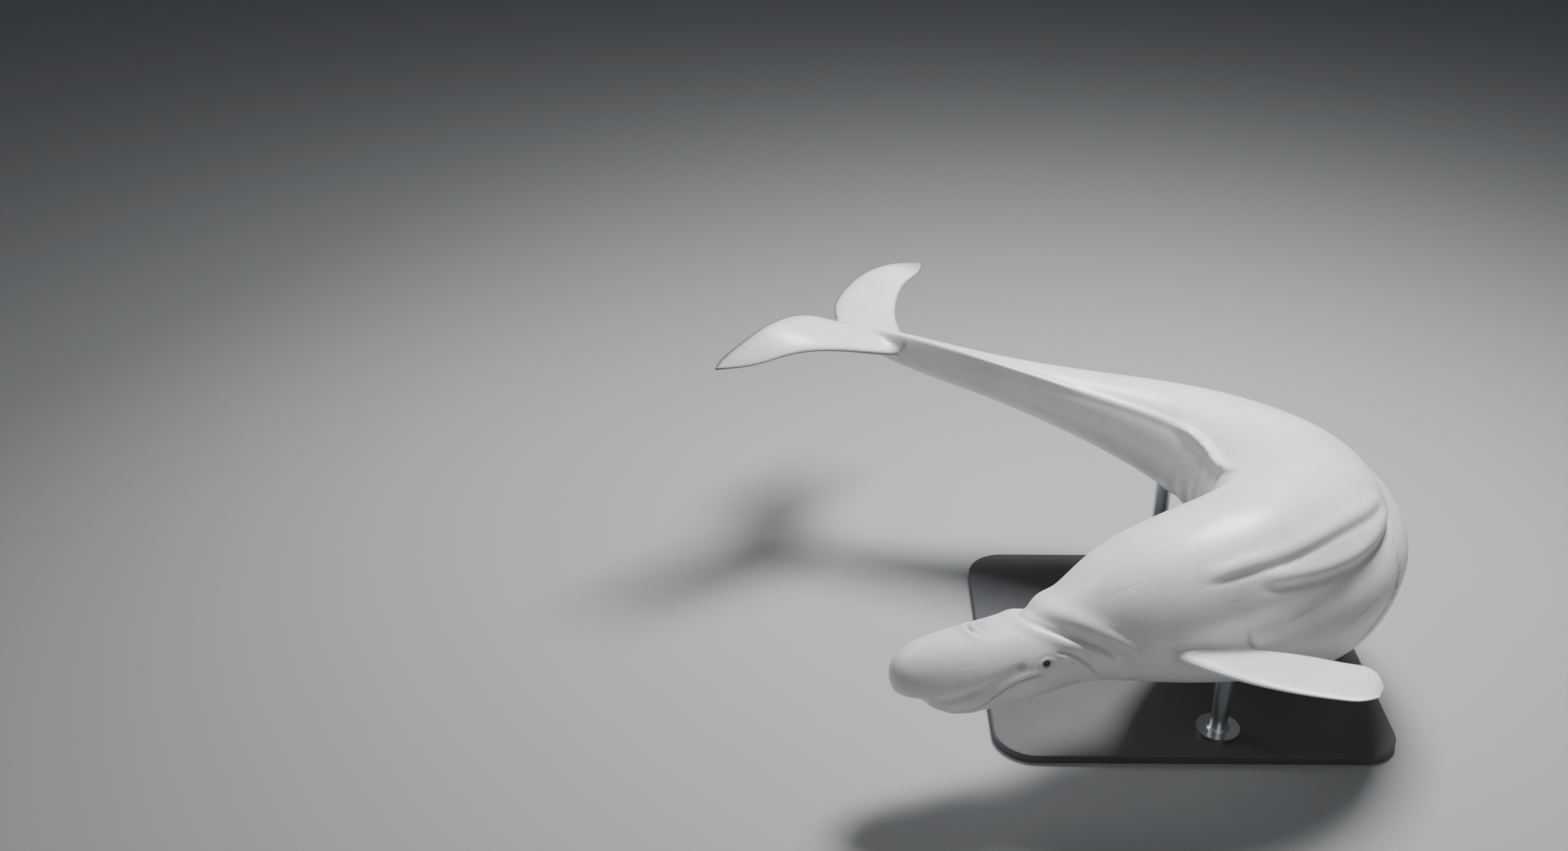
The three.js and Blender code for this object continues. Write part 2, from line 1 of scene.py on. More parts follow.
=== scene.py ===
"""A white beluga whale, bent to its right, on a plain display stand.

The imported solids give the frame. One fine skin takes the place of the solids of flesh, two glossy eyes
take the place of the plain ones, and the stand keeps its solids under better finishes.
Lengths are metres. A body place is (x, a, b): x along the spine from the front of the melon,
a to the animal's left and b towards its back.
"""

import logging
import math
from dataclasses import dataclass, field
from enum import Enum
from typing import Callable, Optional, Sequence, Union

import bmesh
import bpy
import numpy as np
from mathutils import Matrix, Vector, kdtree


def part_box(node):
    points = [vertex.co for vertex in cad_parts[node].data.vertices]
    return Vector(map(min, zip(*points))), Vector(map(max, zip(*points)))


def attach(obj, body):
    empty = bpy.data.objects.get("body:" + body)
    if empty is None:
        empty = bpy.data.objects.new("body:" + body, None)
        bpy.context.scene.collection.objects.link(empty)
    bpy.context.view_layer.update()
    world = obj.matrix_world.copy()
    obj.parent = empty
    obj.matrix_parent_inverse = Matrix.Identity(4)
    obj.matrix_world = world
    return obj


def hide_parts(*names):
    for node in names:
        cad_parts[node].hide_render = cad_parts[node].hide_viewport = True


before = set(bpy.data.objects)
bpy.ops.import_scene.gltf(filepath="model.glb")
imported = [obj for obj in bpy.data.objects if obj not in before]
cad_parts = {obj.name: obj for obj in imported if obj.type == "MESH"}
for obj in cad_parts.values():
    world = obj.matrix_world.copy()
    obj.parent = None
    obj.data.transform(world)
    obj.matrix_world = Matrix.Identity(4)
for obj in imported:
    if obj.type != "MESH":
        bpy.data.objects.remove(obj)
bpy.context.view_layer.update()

logging.basicConfig(level=logging.INFO, format="%(message)s")
LOG = logging.getLogger("whale")

Station = tuple[float, float]
Stations = Sequence[Station]
Array = np.ndarray
Number = Union[float, Array]
Triple = tuple[float, float, float]
Colour = tuple[float, float, float, float]

PHOTO_WIDTH = 2500
BODY_END = 3.835
# The colour sockets of a Mix node, whose names it has more than once.
MIX_FIRST, MIX_SECOND, MIX_RESULT = 6, 7, 2


class Side(Enum):
    """A side of the animal, with the sign of its a coordinate."""

    LEFT = 1
    RIGHT = -1

    @property
    def word(self) -> str:
        """The side's name in a node's name."""
        return self.name.lower()


class Curve:
    """A smooth curve through stations, free at both ends."""

    def __init__(self, stations: Stations, root: bool = False) -> None:
        """Works out the curve's bends.

        Args:
            stations: pairs of a place and its value.
            root: whether the curve is smooth over the place's square root, for a round nose.
        """
        self.root = root
        places = np.array([place for place, _ in stations], dtype=float)
        self.x = np.sqrt(places) if root else places
        self.y = np.array([value for _, value in stations], dtype=float)
        count = len(self.x)
        step = np.diff(self.x)
        slope = np.diff(self.y) / step
        matrix = np.eye(count)
        target = np.zeros(count)
        for i in range(1, count - 1):
            matrix[i, i - 1:i + 2] = step[i - 1], 2 * (step[i - 1] + step[i]), step[i]
            target[i] = 6 * (slope[i] - slope[i - 1])
        self.bend = np.linalg.solve(matrix, target)

    def __call__(self, place: Number) -> Array:
        """The value at a place, or at each of an array of them.

        Args:
            place: where the curve is read. Past either end the end's value holds.

        Returns:
            The values, in an array.
        """
        at = np.asarray(place, dtype=float)
        at = np.clip(np.sqrt(np.maximum(at, 0)) if self.root else at, self.x[0], self.x[-1])
        i = np.clip(np.searchsorted(self.x, at, side="right") - 1, 0, len(self.x) - 2)
        h = self.x[i + 1] - self.x[i]
        p = (self.x[i + 1] - at) / h
        q = 1 - p
        cubic = ((p ** 3 - p) * self.bend[i] + (q ** 3 - q) * self.bend[i + 1]) * h * h / 6
        return p * self.y[i] + q * self.y[i + 1] + cubic


def bell(distance: Number, width: float) -> Array:
    """1 at no distance, falling softly to 0 past the width."""
    return np.exp(-((np.asarray(distance) / width) ** 2))


def ease(low: float, high: float, value: Number) -> Array:
    """0 below low, 1 above high and smooth between. High may be the smaller one."""
    t = np.clip((np.asarray(value) - low) / (high - low), 0, 1)
    return t * t * (3 - 2 * t)


def span(low: float, high: float, fade: float, value: Number) -> Array:
    """1 between low and high, falling smoothly to 0 over the fade outside them."""
    return ease(low - fade, low, value) * (1 - ease(high, high + fade, value))


@dataclass
class Spine:
    """The bent spine: its heading, climb and roll, in degrees, along the body."""

    heading: Stations = (
        (0, 6), (0.5, 17), (0.9, 12.5), (1.25, 26), (1.6, 62), (1.97, 102),
        (2.33, 138), (2.7, 161), (3.07, 166), (3.44, 165), (3.9, 155.5),
    )
    climb: Stations = (
        (0, 11.5), (0.5, 15), (0.9, 12), (1.25, 1), (1.6, -5), (2.3, 6.5), (3.1, 11), (3.9, 11),
    )
    roll: Stations = (
        (0, 22.5), (0.5, 19), (0.85, 14), (1.15, 15.5), (1.43, 31), (1.7, 48.5), (2.03, 57.5),
        (2.39, 52.5), (2.8, 50.5), (3.25, 40), (3.7, 23), (3.9, 14.5),
    )
    step: float = 0.005
    start: Array = field(default_factory=lambda: np.zeros(3))

    def __post_init__(self) -> None:
        """Lays the spine out from its start, step by step."""
        self._turns = [Curve(self.heading), Curve(self.climb), Curve(self.roll)]
        count = int(round(BODY_END / self.step)) + 1
        middles = (np.arange(count) + 0.5) * self.step
        path = np.cumsum(self.axes(middles)[0] * self.step, axis=0)
        self.points = np.vstack([np.zeros(3), path])

    def axes(self, x: Number) -> tuple[Array, Array, Array]:
        """The tailward, left and dorsal directions at x.

        Args:
            x: places along the spine.

        Returns:
            Three arrays of unit vectors, one row for each place.
        """
        h, c, r = (np.radians(turn(x)) for turn in self._turns)
        tailward = np.stack([np.cos(c) * np.cos(h), np.cos(c) * np.sin(h), np.sin(c)], axis=-1)
        level = np.stack([np.sin(h), -np.cos(h), np.zeros_like(h)], axis=-1)
        upright = np.cross(level, tailward)
        cosine, sine = np.cos(r)[..., None], np.sin(r)[..., None]
        return tailward, level * cosine + upright * sine, upright * cosine - level * sine

    def at(self, x: Number) -> Array:
        """The spine's points at x, run on straight past its ends."""
        x = np.asarray(x, dtype=float)
        inside = np.clip(x, 0, BODY_END)
        grid = np.arange(len(self.points)) * self.step
        point = np.stack([np.interp(inside, grid, self.points[:, k]) for k in range(3)], axis=-1)
        return self.start + point + self.axes(inside)[0] * (x - inside)[..., None]

    def bent(self, x: Number, a: Number, b: Number) -> Array:
        """Body places on the bent body.

        Args:
            x: along the spine.
            a: to the left.
            b: towards the back.

        Returns:
            Points, one row for each place.
        """
        _, left, dorsal = self.axes(np.clip(x, 0, BODY_END))
        return self.at(x) + left * np.asarray(a)[..., None] + dorsal * np.asarray(b)[..., None]

    def rigid(self, x0: float, turn: float = 0.0, tilt: float = 0.0) -> "RigidFrame":
        """The body's axes at x0, turned about the dorsal one and then tilted about the tailward one.

        Args:
            x0: a place along the spine.
            turn: degrees about the dorsal axis.
            tilt: degrees about the turned tailward axis.

        Returns:
            The straight axes.
        """
        tailward, left, dorsal = (Vector(axis) for axis in self.axes(x0))
        spin = Matrix.Rotation(math.radians(turn), 3, dorsal)
        tailward, left = spin @ tailward, spin @ left
        lean = Matrix.Rotation(math.radians(tilt), 3, tailward)
        return RigidFrame(x0, self.at(x0), np.array(tailward), np.array(lean @ left), np.array(lean @ dorsal))


@dataclass
class RigidFrame:
    """Straight axes set on the body at one place, for a limb."""

    x0: float
    origin: Array
    tailward: Array
    left: Array
    dorsal: Array

    def place(self, x: Number, a: Number, b: Number) -> Array:
        """Body places as points."""
        parts = ((np.asarray(x) - self.x0, self.tailward), (np.asarray(a), self.left),
                 (np.asarray(b), self.dorsal))
        return self.origin + sum(amount[..., None] * axis for amount, axis in parts)

    def direction(self, x: float, a: float, b: float) -> Array:
        """A direction given along the frame's axes, as a unit vector."""
        vector = x * self.tailward + a * self.left + b * self.dorsal
        return vector / np.linalg.norm(vector)


@dataclass(frozen=True)
class Mark:
    """A line on the skin, in relief or in tone: its strength, its width and the stretch it runs over."""

    strength: float
    width: float
    low: float
    high: float
    fade: float

    def at(self, distance: Number, along: Number) -> Array:
        """How strong the mark is.

        Args:
            distance: how far each place lies from the middle of the line.
            along: how far along the line it lies.

        Returns:
            The height or tone at each place.
        """
        return self.strength * bell(distance, self.width) * span(self.low, self.high, self.fade, along)


@dataclass(frozen=True)
class Mouth:
    """The line of the mouth with its lips, and the furrow under the melon."""

    line: Stations = (
        (0.105, -0.062), (0.14, -0.075), (0.19, -0.088), (0.235, -0.087), (0.27, -0.072), (0.30, -0.056),
        (0.335, -0.042), (0.395, -0.031), (0.43, -0.031), (0.47, -0.035), (0.5, -0.036),
    )
    furrow: Stations = (
        (0.07, -0.026), (0.14, -0.030), (0.22, -0.026), (0.29, -0.012), (0.36, 0.002), (0.42, 0.012),
    )
    deep_furrow: Mark = Mark(-0.009, 0.013, 0.08, 0.215, 0.105)
    soft_furrow: Mark = Mark(-0.004, 0.016, 0.20, 0.38, 0.06)
    slit: Mark = Mark(-0.006, 0.0028, 0.11, 0.462, 0.012)
    lip: Mark = Mark(0.004, 0.008, 0.115, 0.442, 0.04)
    lip_offset: float = 0.011
    # Painted shade along the slit of the mouth.
    shade: Mark = Mark(0.55, 0.0030, 0.06, 0.455, 0.012)
    corner: float = 0.466
    curl_centre: float = 0.470
    curl_radius: float = 0.022
    curl_width: float = 0.005
    curl_depth: float = 0.0025

    def relief(self, x: Array, b: Array) -> Array:
        """How far the lips and furrows stand out, with the fold that curls up behind the corner."""
        line, furrow = b - Curve(self.line)(x), b - Curve(self.furrow)(x)
        out = self.deep_furrow.at(furrow, x) + self.soft_furrow.at(furrow, x)
        out += self.lip.at(np.abs(line) - self.lip_offset, x) + self.slit.at(line, x)
        curl = np.hypot(x - self.curl_centre, (b - Curve(self.line)(self.corner)) * 0.8) - self.curl_radius
        return out - self.curl_depth * bell(curl, self.curl_width) * ease(-0.01, 0.012, x - self.corner)

    def tone(self, x: Array, b: Array) -> Array:
        """Painted shade along the line of the mouth: how dark it is."""
        return self.shade.at(b - Curve(self.line)(x), x)


@dataclass(frozen=True)
class EyePlaces:
    """The eye with its dip, rim and lids, the ear opening behind it and the spot before it."""

    place: tuple[float, float] = (0.486, -0.004)
    radius: float = 0.015
    sunk: float = 0.72
    ear: tuple[float, float] = (0.571, -0.032)
    spot: tuple[float, float] = (0.406, 0.012)
    oval: float = 1.35
    lid_oval: float = 1.2
    lid_shift: float = 0.006
    upper_lid: float = 0.036
    lower_lid: float = 0.034
    rim: float = 0.0215

    def relief(self, x: Array, a: Array, b: Array) -> Array:
        """How far the rim, dip, lids and ear opening stand out."""
        along, up = x - self.place[0], b - self.place[1]
        from_eye = np.hypot(along, up * self.oval)
        upper = np.hypot(along, (up + self.lid_shift) * self.lid_oval) - self.upper_lid
        lower = np.hypot(along, (up - self.lid_shift) * self.lid_oval) - self.lower_lid
        out = 0.0026 * bell(from_eye - self.rim, 0.0085) - 0.0060 * bell(from_eye, 0.0105)
        out -= 0.0022 * bell(upper, 0.0028) * ease(-0.002, 0.01, up)
        out -= 0.0014 * bell(lower, 0.0026) * ease(-0.002, -0.012, up)
        out -= 0.0020 * bell(np.hypot(x - self.ear[0], b - self.ear[1]), 0.0035)
        return out * ease(0.05, 0.07, np.abs(a))

    def tone(self, x: Array, a: Array, b: Array) -> Array:
        """How dark the painted shade in the eye's dip, on its lids and in the ear opening is, and how dark
        the grey spot on the left cheek is.
        """
        from_eye = np.hypot(x - self.place[0], (b - self.place[1]) * self.oval)
        spot = np.hypot(x - self.spot[0], b - self.spot[1])
        ear = np.hypot(x - self.ear[0], b - self.ear[1])
        # Painted shade round the sunk eye and in the ear opening, then the grey spot on the left cheek.
        tone = 0.75 * bell(from_eye, 0.013) + 0.15 * bell(from_eye, 0.03) + 0.5 * bell(ear, 0.004)
        tone += (0.34 * (1 - ease(0.011, 0.015, spot)) + 0.14 * bell(spot - 0.013, 0.002)) * (a > 0)
        return tone * (np.abs(a) > 0.06)


@dataclass(frozen=True)
class Blowhole:
    """A crescent slit with a raised front lip, a little left of the middle."""

    place: tuple[float, float] = (0.308, 0.018)
    half_width: float = 0.040
    bow: float = 0.009

    def _from_slit(self, x: Array, a: Array) -> tuple[Array, Array]:
        """The share of the half width and the distance behind the slit."""
        across = (a - self.place[1]) / self.half_width
        return across, x - (self.place[0] + self.bow * across ** 2)

    def relief(self, x: Array, a: Array, b: Array) -> Array:
        """How far the slit, its front lip and the hollow behind it stand out."""
        across, behind = self._from_slit(x, a)
        out = -0.013 * bell(behind, 0.0055) * bell(across, 0.95)
        out += (0.007 * bell(behind + 0.020, 0.014) - 0.006 * bell(behind - 0.034, 0.026)) * bell(across, 1.2)
        return out * ease(0.02, 0.06, b)

    def tone(self, x: Array, a: Array, b: Array) -> Array:
        """How dark the painted shade in the slit and in the hollow behind it is."""
        across, behind = self._from_slit(x, a)
        slit = 0.95 * bell(behind, 0.006) * bell(across, 0.9)
        return (slit + 0.30 * bell(behind - 0.03, 0.022) * bell(across, 1.0)) * (b > 0.05)


@dataclass(frozen=True)
class NeckFolds:
    """The head's hind edge, which lies over the neck like a flap, and the folds round it."""

    crease: Stations = (
        (-1, 0.69), (-0.4, 0.705), (-0.06, 0.682), (0.19, 0.628), (0.5, 0.570), (0.75, 0.528), (0.91, 0.500),
        (1, 0.485),
    )
    jaw_fold: Stations = ((0.53, 14), (0.553, 9), (0.597, -4), (0.636, -24), (0.66, -40))
    jaw_half_width: float = 0.175
    metres_per_degree: float = 0.0030
    jaw_cut: Mark = Mark(-0.010, 0.0055, 0.545, 0.645, 0.016)
    jaw_roll: Mark = Mark(0.006, 0.014, 0.545, 0.645, 0.016)
    # Painted shade in the fold behind the eye.
    jaw_shade: Mark = Mark(0.30, 0.004, 0.545, 0.645, 0.016)
    wrinkle_place: tuple[float, float] = (0.632, -0.22)
    wrinkle_pitch: float = 0.0145
    wrinkle_height: float = 0.0022
    # Each fine fold: how far behind the crease, how it leans, and its mark round the section.
    fine: tuple[tuple[float, float, Mark], ...] = (
        (-0.104, 0.04, Mark(-0.0020, 0.0060, -0.75, -0.10, 0.16)),
        (-0.145, 0.05, Mark(-0.0014, 0.0060, -0.62, -0.12, 0.16)),
        (0.050, -0.03, Mark(-0.0036, 0.0060, -0.80, -0.20, 0.16)),
        (0.105, 0.03, Mark(-0.0036, 0.0060, -0.85, 0.30, 0.16)),
        (0.160, 0.04, Mark(-0.0024, 0.0060, -0.90, 0.00, 0.16)),
    )

    def _from_jaw_fold(self, x: Array, a: Array, sine: Array) -> Array:
        """How far above the fold behind the eye each place lies."""
        turn = np.degrees(np.arctan2(sine, np.abs(a) / self.jaw_half_width))
        return (turn - Curve(self.jaw_fold)(x)) * self.metres_per_degree

    def relief(self, x: Array, a: Array, b: Array, sine: Array) -> Array:
        """How far the flap and the folds stand out."""
        behind = x - Curve(self.crease)(sine)
        flap = 0.0045 * bell(behind + 0.030, 0.028) - 0.015 * bell(behind - 0.006, 0.0085)
        neck = 0.012 * (bell(behind - 0.085, 0.040) - bell(behind - 0.026, 0.026))
        out = flap * ease(-0.34, -0.02, sine) + neck * ease(-0.8, -0.2, sine)
        fold = self._from_jaw_fold(x, a, sine)
        out += self.jaw_cut.at(fold, x) + self.jaw_roll.at(fold + 0.018, x)
        # Short wrinkles where the fold behind the eye meets the flap.
        wrinkled = bell(x - self.wrinkle_place[0], 0.022) * bell(sine - self.wrinkle_place[1], 0.16)
        out += self.wrinkle_height * np.sin((b + 0.9 * x) * 2 * math.pi / self.wrinkle_pitch) * wrinkled
        for offset, lean, mark in self.fine:
            wave = 0.006 * np.sin(sine * 9 + offset * 60)
            out += mark.at(behind - offset - lean * (sine + 0.3) - wave, sine)
        return out

    def tone(self, x: Array, a: Array, sine: Array) -> Array:
        """How dark the painted shade in the folds is, under the head's hind edge and behind the eye."""
        behind = x - Curve(self.crease)(sine)
        return (0.34 * bell(behind - 0.007, 0.006) * ease(-0.34, 0.0, sine)
                + self.jaw_shade.at(self._from_jaw_fold(x, a, sine), x))


@dataclass(frozen=True)
class FlankFold:
    """A fold along the left flank, with a roll of skin above it. Its line is degrees round the body."""

    line: Stations
    depth: float
    width: float
    low: float
    high: float
    fade: float
    metres_per_degree: float = 0.0056

    def _above(self, x: Array, turn: Array) -> Array:
        """How far above the fold each place lies."""
        return (turn - Curve(self.line)(x)) * self.metres_per_degree

    def relief(self, x: Array, turn: Array) -> Array:
        """How far the fold and its roll stand out."""
        above = self._above(x, turn)
        roll = 0.9 * bell(above - self.width * 2.0, self.width * 2.2)
        cut = 0.85 * bell(above + self.width * 0.8, self.width)
        return self.depth * (roll - cut) * span(self.low, self.high, self.fade, x)

    def tone(self, x: Array, turn: Array) -> Array:
        """How dark the painted shade in the fold is."""
        shade = 0.10 * bell(self._above(x, turn) + self.width * 0.8, self.width * 0.7)
        return shade * span(self.low, self.high, self.fade, x)


@dataclass(frozen=True)
class DoubleLine:
    """Two fine ribs side by side, down the bulge of the belly. Their line is x by degrees."""

    line: Stations = ((-60, 1.44), (-45, 1.49), (-36, 1.527), (-24, 1.58), (-16, 1.618), (0, 1.66))
    rib: Mark = Mark(0.0050, 0.0032, -52, -17, 7)
    groove: Mark = Mark(-0.0050, 0.0040, -52, -17, 7)
    # Painted shade in the groove between the ribs.
    shade: Mark = Mark(0.16, 0.004, -52, -17, 7)
    apart: float = 0.017

    def relief(self, x: Array, turn: Array) -> Array:
        """How far the ribs and the groove between them stand out."""
        behind = x - Curve(self.line)(turn)
        ribs = self.rib.at(behind, turn) + self.rib.at(behind - self.apart, turn)
        return ribs + self.groove.at(behind - self.apart / 2, turn)

    def tone(self, x: Array, turn: Array) -> Array:
        """How dark the painted shade in the groove is."""
        return self.shade.at(x - Curve(self.line)(turn) - self.apart / 2, turn)


@dataclass
class TrunkForm:
    """The trunk's sections from the melon to the end of the stock, with the relief of its skin."""

    back: Stations = (
        (0, 0.046), (0.01, 0.089), (0.03, 0.115), (0.06, 0.135), (0.1, 0.149), (0.16, 0.157), (0.25, 0.156),
        (0.35, 0.148), (0.45, 0.136), (0.56, 0.132), (0.65, 0.154), (0.79, 0.215), (0.975, 0.262),
        (1.25, 0.302), (1.565, 0.322), (1.885, 0.312), (2.25, 0.27), (2.615, 0.21), (2.98, 0.156),
        (3.345, 0.114), (3.575, 0.091), (3.71, 0.064), (3.835, 0.026),
    )
    belly: Stations = (
        (0, 0.046), (0.01, 0.008), (0.03, -0.008), (0.06, -0.022), (0.09, -0.04), (0.115, -0.064),
        (0.15, -0.09), (0.19, -0.106), (0.24, -0.119), (0.35, -0.138), (0.45, -0.151), (0.56, -0.162),
        (0.65, -0.178), (0.79, -0.226), (0.975, -0.286), (1.25, -0.354), (1.565, -0.398), (1.885, -0.376),
        (2.25, -0.306), (2.615, -0.226), (2.98, -0.164), (3.345, -0.116), (3.575, -0.092), (3.71, -0.064),
        (3.835, -0.026),
    )
    half_width: Stations = (
        (0, 0), (0.01, 0.05), (0.03, 0.08), (0.06, 0.102), (0.1, 0.119), (0.16, 0.135), (0.25, 0.151),
        (0.35, 0.163), (0.45, 0.17), (0.56, 0.174), (0.65, 0.196), (0.79, 0.252), (0.975, 0.296),
        (1.25, 0.322), (1.565, 0.332), (1.885, 0.31), (2.25, 0.25), (2.615, 0.178), (2.98, 0.114),
        (3.345, 0.07), (3.575, 0.052), (3.71, 0.04), (3.835, 0.024),
    )
    widest: Stations = (
        (0, 0.046), (0.06, 0.028), (0.12, 0.006), (0.25, -0.008), (0.45, -0.012), (0.975, -0.018),
        (1.615, -0.022), (2.435, -0.008), (3.835, 0),
    )
    squareness: Stations = ((0, 1), (0.06, 0.8), (0.15, 0.7), (0.3, 0.8), (0.5, 0.95), (0.885, 1),
                            (3.835, 1))
    mouth: Mouth = Mouth()
    eye: EyePlaces = EyePlaces()
    blowhole: Blowhole = Blowhole()
    neck: NeckFolds = NeckFolds()
    head_end: tuple[float, float] = (0.80, 0.95)
    flank_folds: tuple[FlankFold, ...] = (
        FlankFold(((1.0, 35), (1.072, 32.8), (1.156, 31.4), (1.242, 28), (1.335, 24.5), (1.449, 17.3),
                   (1.592, 3), (1.68, -5)), 0.009, 0.012, 1.10, 1.60, 0.10),
        FlankFold(((1.1, 24), (1.174, 18.9), (1.309, 8.6), (1.455, -2.3), (1.548, -7.7), (1.627, -10),
                   (1.7, -9)), 0.013, 0.013, 1.22, 1.62, 0.07),
    )
    double_line: DoubleLine = DoubleLine()
    belly_roll: Mark = Mark(0.016, 0.20, 1.2, 2.02, 0.34)
    belly_hollow: Mark = Mark(-0.012, 0.13, 1.2, 2.02, 0.34)
    ridge: Mark = Mark(0.030, 0.020, 1.96, 2.33, 0.18)
    # Painted shade along the crest of the dorsal ridge.
    ridge_shade: Mark = Mark(0.30, 0.012, 1.96, 2.36, 0.12)
    loin_keel: Mark = Mark(0.007, 0.016, 1.80, 3.30, 0.35)
    tail_keel: Mark = Mark(0.009, 0.016, 3.08, 3.62, 0.24)
    slit: Mark = Mark(-0.008, 0.0035, 2.30, 2.46, 0.05)
    # The navel's place along the belly, its radius and its height.
    navel: Triple = (1.93, 0.012, -0.008)
    slack_height: float = 0.0028
    slack_pitch: float = 0.105

    def __post_init__(self) -> None:
        """Makes the curves that the sections are read from."""
        self._back = Curve(self.back, root=True)
        self._belly = Curve(self.belly, root=True)
        self._half_width = Curve(self.half_width, root=True)
        self._widest = Curve(self.widest, root=True)
        self._squareness = Curve(self.squareness, root=True)

    def head_relief(self, x: Array, a: Array, b: Array, sine: Array) -> Array:
        """How far the head's features stand out of the plain sections.

        Args:
            x: places along the body.
            a: places to the left.
            b: places towards the back.
            sine: sine of the angle round the section.

        Returns:
            The outward distance at each place.
        """
        out = self.mouth.relief(x, b) + self.eye.relief(x, a, b)
        out += self.blowhole.relief(x, a, b) + self.neck.relief(x, a, b, sine)
        return out * (1 - ease(*self.head_end, x))

    def body_relief(self, x: Array, a: Array, sine: Array, cosine: Array) -> Array:
        """How far the ridge, folds and keels stand out of the plain sections.

        Args:
            x: places along the body.
            a: places to the left.
            sine: sine of the angle round the section.
            cosine: its cosine.

        Returns:
            The outward distance at each place.
        """
        # The ridge is nicked along its crest, and a low keel runs on from it.
        notches = 0.8 + 0.14 * np.cos((x - 1.93) / 0.026) + 0.06 * np.sin(x / 0.0111)
        out = (self.ridge.at(a, x) * notches + self.loin_keel.at(a, x)) * ease(-0.05, 0.1, sine)
        # The roll of the belly and the hollow above it wander a little along the body.
        wave = 0.12 * np.sin(x / 0.24)
        out += self.belly_roll.at(sine + 0.52 + wave, x) + self.belly_hollow.at(sine + 0.16 + wave, x)
        turn = np.degrees(np.arctan2(sine, cosine))
        left = ease(0.0, 0.3, cosine)
        for fold in self.flank_folds:
            out += fold.relief(x, turn) * left
        out += self.double_line.relief(x, turn)
        # Slack skin on the inside of the bend, gathered in shallow folds.
        gathered = ease(0.1, 0.8, -cosine) * span(1.45, 2.35, 0.3, x)
        out += self.slack_height * np.sin(x * 2 * math.pi / self.slack_pitch + 1.2 * sine) * gathered
        # The long slit and the navel on the belly.
        place, radius, height = self.navel
        out += (self.slit.at(a, x) + height * bell(np.hypot(x - place, a), radius)) * ease(-0.6, -0.9, sine)
        return out + self.tail_keel.at(a, x)

    def tone(self, x: Array, a: Array, b: Array) -> Array:
        """How dark the trunk's features are, from 0 up: painted shade in the slits, folds, grooves and dips,
        and a grey spot on the cheek.

        Args:
            x: places along the body.
            a: places to the left.
            b: places towards the back.

        Returns:
            The tone at each place.
        """
        above = b - self._widest(x)
        sine = above / np.maximum(np.hypot(a, above), 1e-6)
        turn = np.degrees(np.arctan2(above, a))
        tone = self.mouth.tone(x, b) + self.eye.tone(x, a, b)
        tone += self.blowhole.tone(x, a, b) + self.neck.tone(x, a, sine)
        tone += self.double_line.tone(x, turn) + sum(fold.tone(x, turn) for fold in self.flank_folds)
        # Painted shade along the crest of the dorsal ridge, broken up along its length.
        return tone + self.ridge_shade.at(a, x) * (b > 0.2) * (0.6 + 0.4 * np.sin(x / 0.009))

    def skin(self, x: Number, angle: Number) -> tuple[Array, Array, Array]:
        """The skin's body places on rings at x.

        Args:
            x: places along the body.
            angle: turns round the section, 0 at the left side and a quarter turn at the back.

        Returns:
            Body places x, a and b.
        """
        x, angle = np.broadcast_arrays(np.asarray(x, dtype=float), np.asarray(angle, dtype=float))
        cosine, sine = np.cos(angle), np.sin(angle)
        middle = self._widest(x)
        lower = sine < 0
        power = np.where(lower, self._squareness(x), 1.0)
        height = np.where(lower, middle - self._belly(x), self._back(x) - middle)
        a = self._half_width(x) * np.sign(cosine) * np.abs(cosine) ** power
        b = middle + height * np.sign(sine) * np.abs(sine) ** power
        far = np.maximum(np.hypot(a, b - middle), 1e-6)
        relief = self.head_relief(x, a, b, sine) + self.body_relief(x, a, sine, cosine)
        grow = 1 + relief * ease(0.0, 0.02, far) / far
        return x, a * grow, middle + (b - middle) * grow

    def eye_depth(self) -> float:
        """How far the skin lies from the middle plane at the eye."""
        x, b = self.eye.place
        sine = (b - self._widest(x)) / (self._back(x) - self._widest(x))
        return float(self._half_width(x) * math.sqrt(1 - sine ** 2))


def foil(chord: Array) -> Array:
    """How thick a blade is at a part of its chord: blunt in front and thin behind."""
    inside = np.clip(chord, 0, 1)
    return 1.9 * np.sqrt(inside) * (1 - inside) ** 0.9 + 0.05


def turned_sphere(around: int, along: int) -> tuple[bmesh.types.BMesh, Array, Array]:
    """A closed ball of rings, to be moved into a longer form.

    Args:
        around: faces round each ring.
        along: faces from pole to pole.

    Returns:
        The mesh, and each vertex's share of the way from pole to pole and its angle.
    """
    mesh = bmesh.new()
    bmesh.ops.create_uvsphere(mesh, u_segments=around, v_segments=along, radius=1.0)
    mesh.verts.ensure_lookup_table()
    co = np.array([vert.co for vert in mesh.verts])
    share = np.arccos(np.clip(co[:, 2], -1, 1)) / math.pi
    return mesh, np.round(share * along) / along, np.arctan2(co[:, 1], co[:, 0])


def move_to(mesh: bmesh.types.BMesh, points: Array) -> None:
    """Moves each vertex to its point, and turns the faces outwards."""
    for vert, point in zip(mesh.verts, points):
        vert.co = point
    bmesh.ops.recalc_face_normals(mesh, faces=mesh.faces)


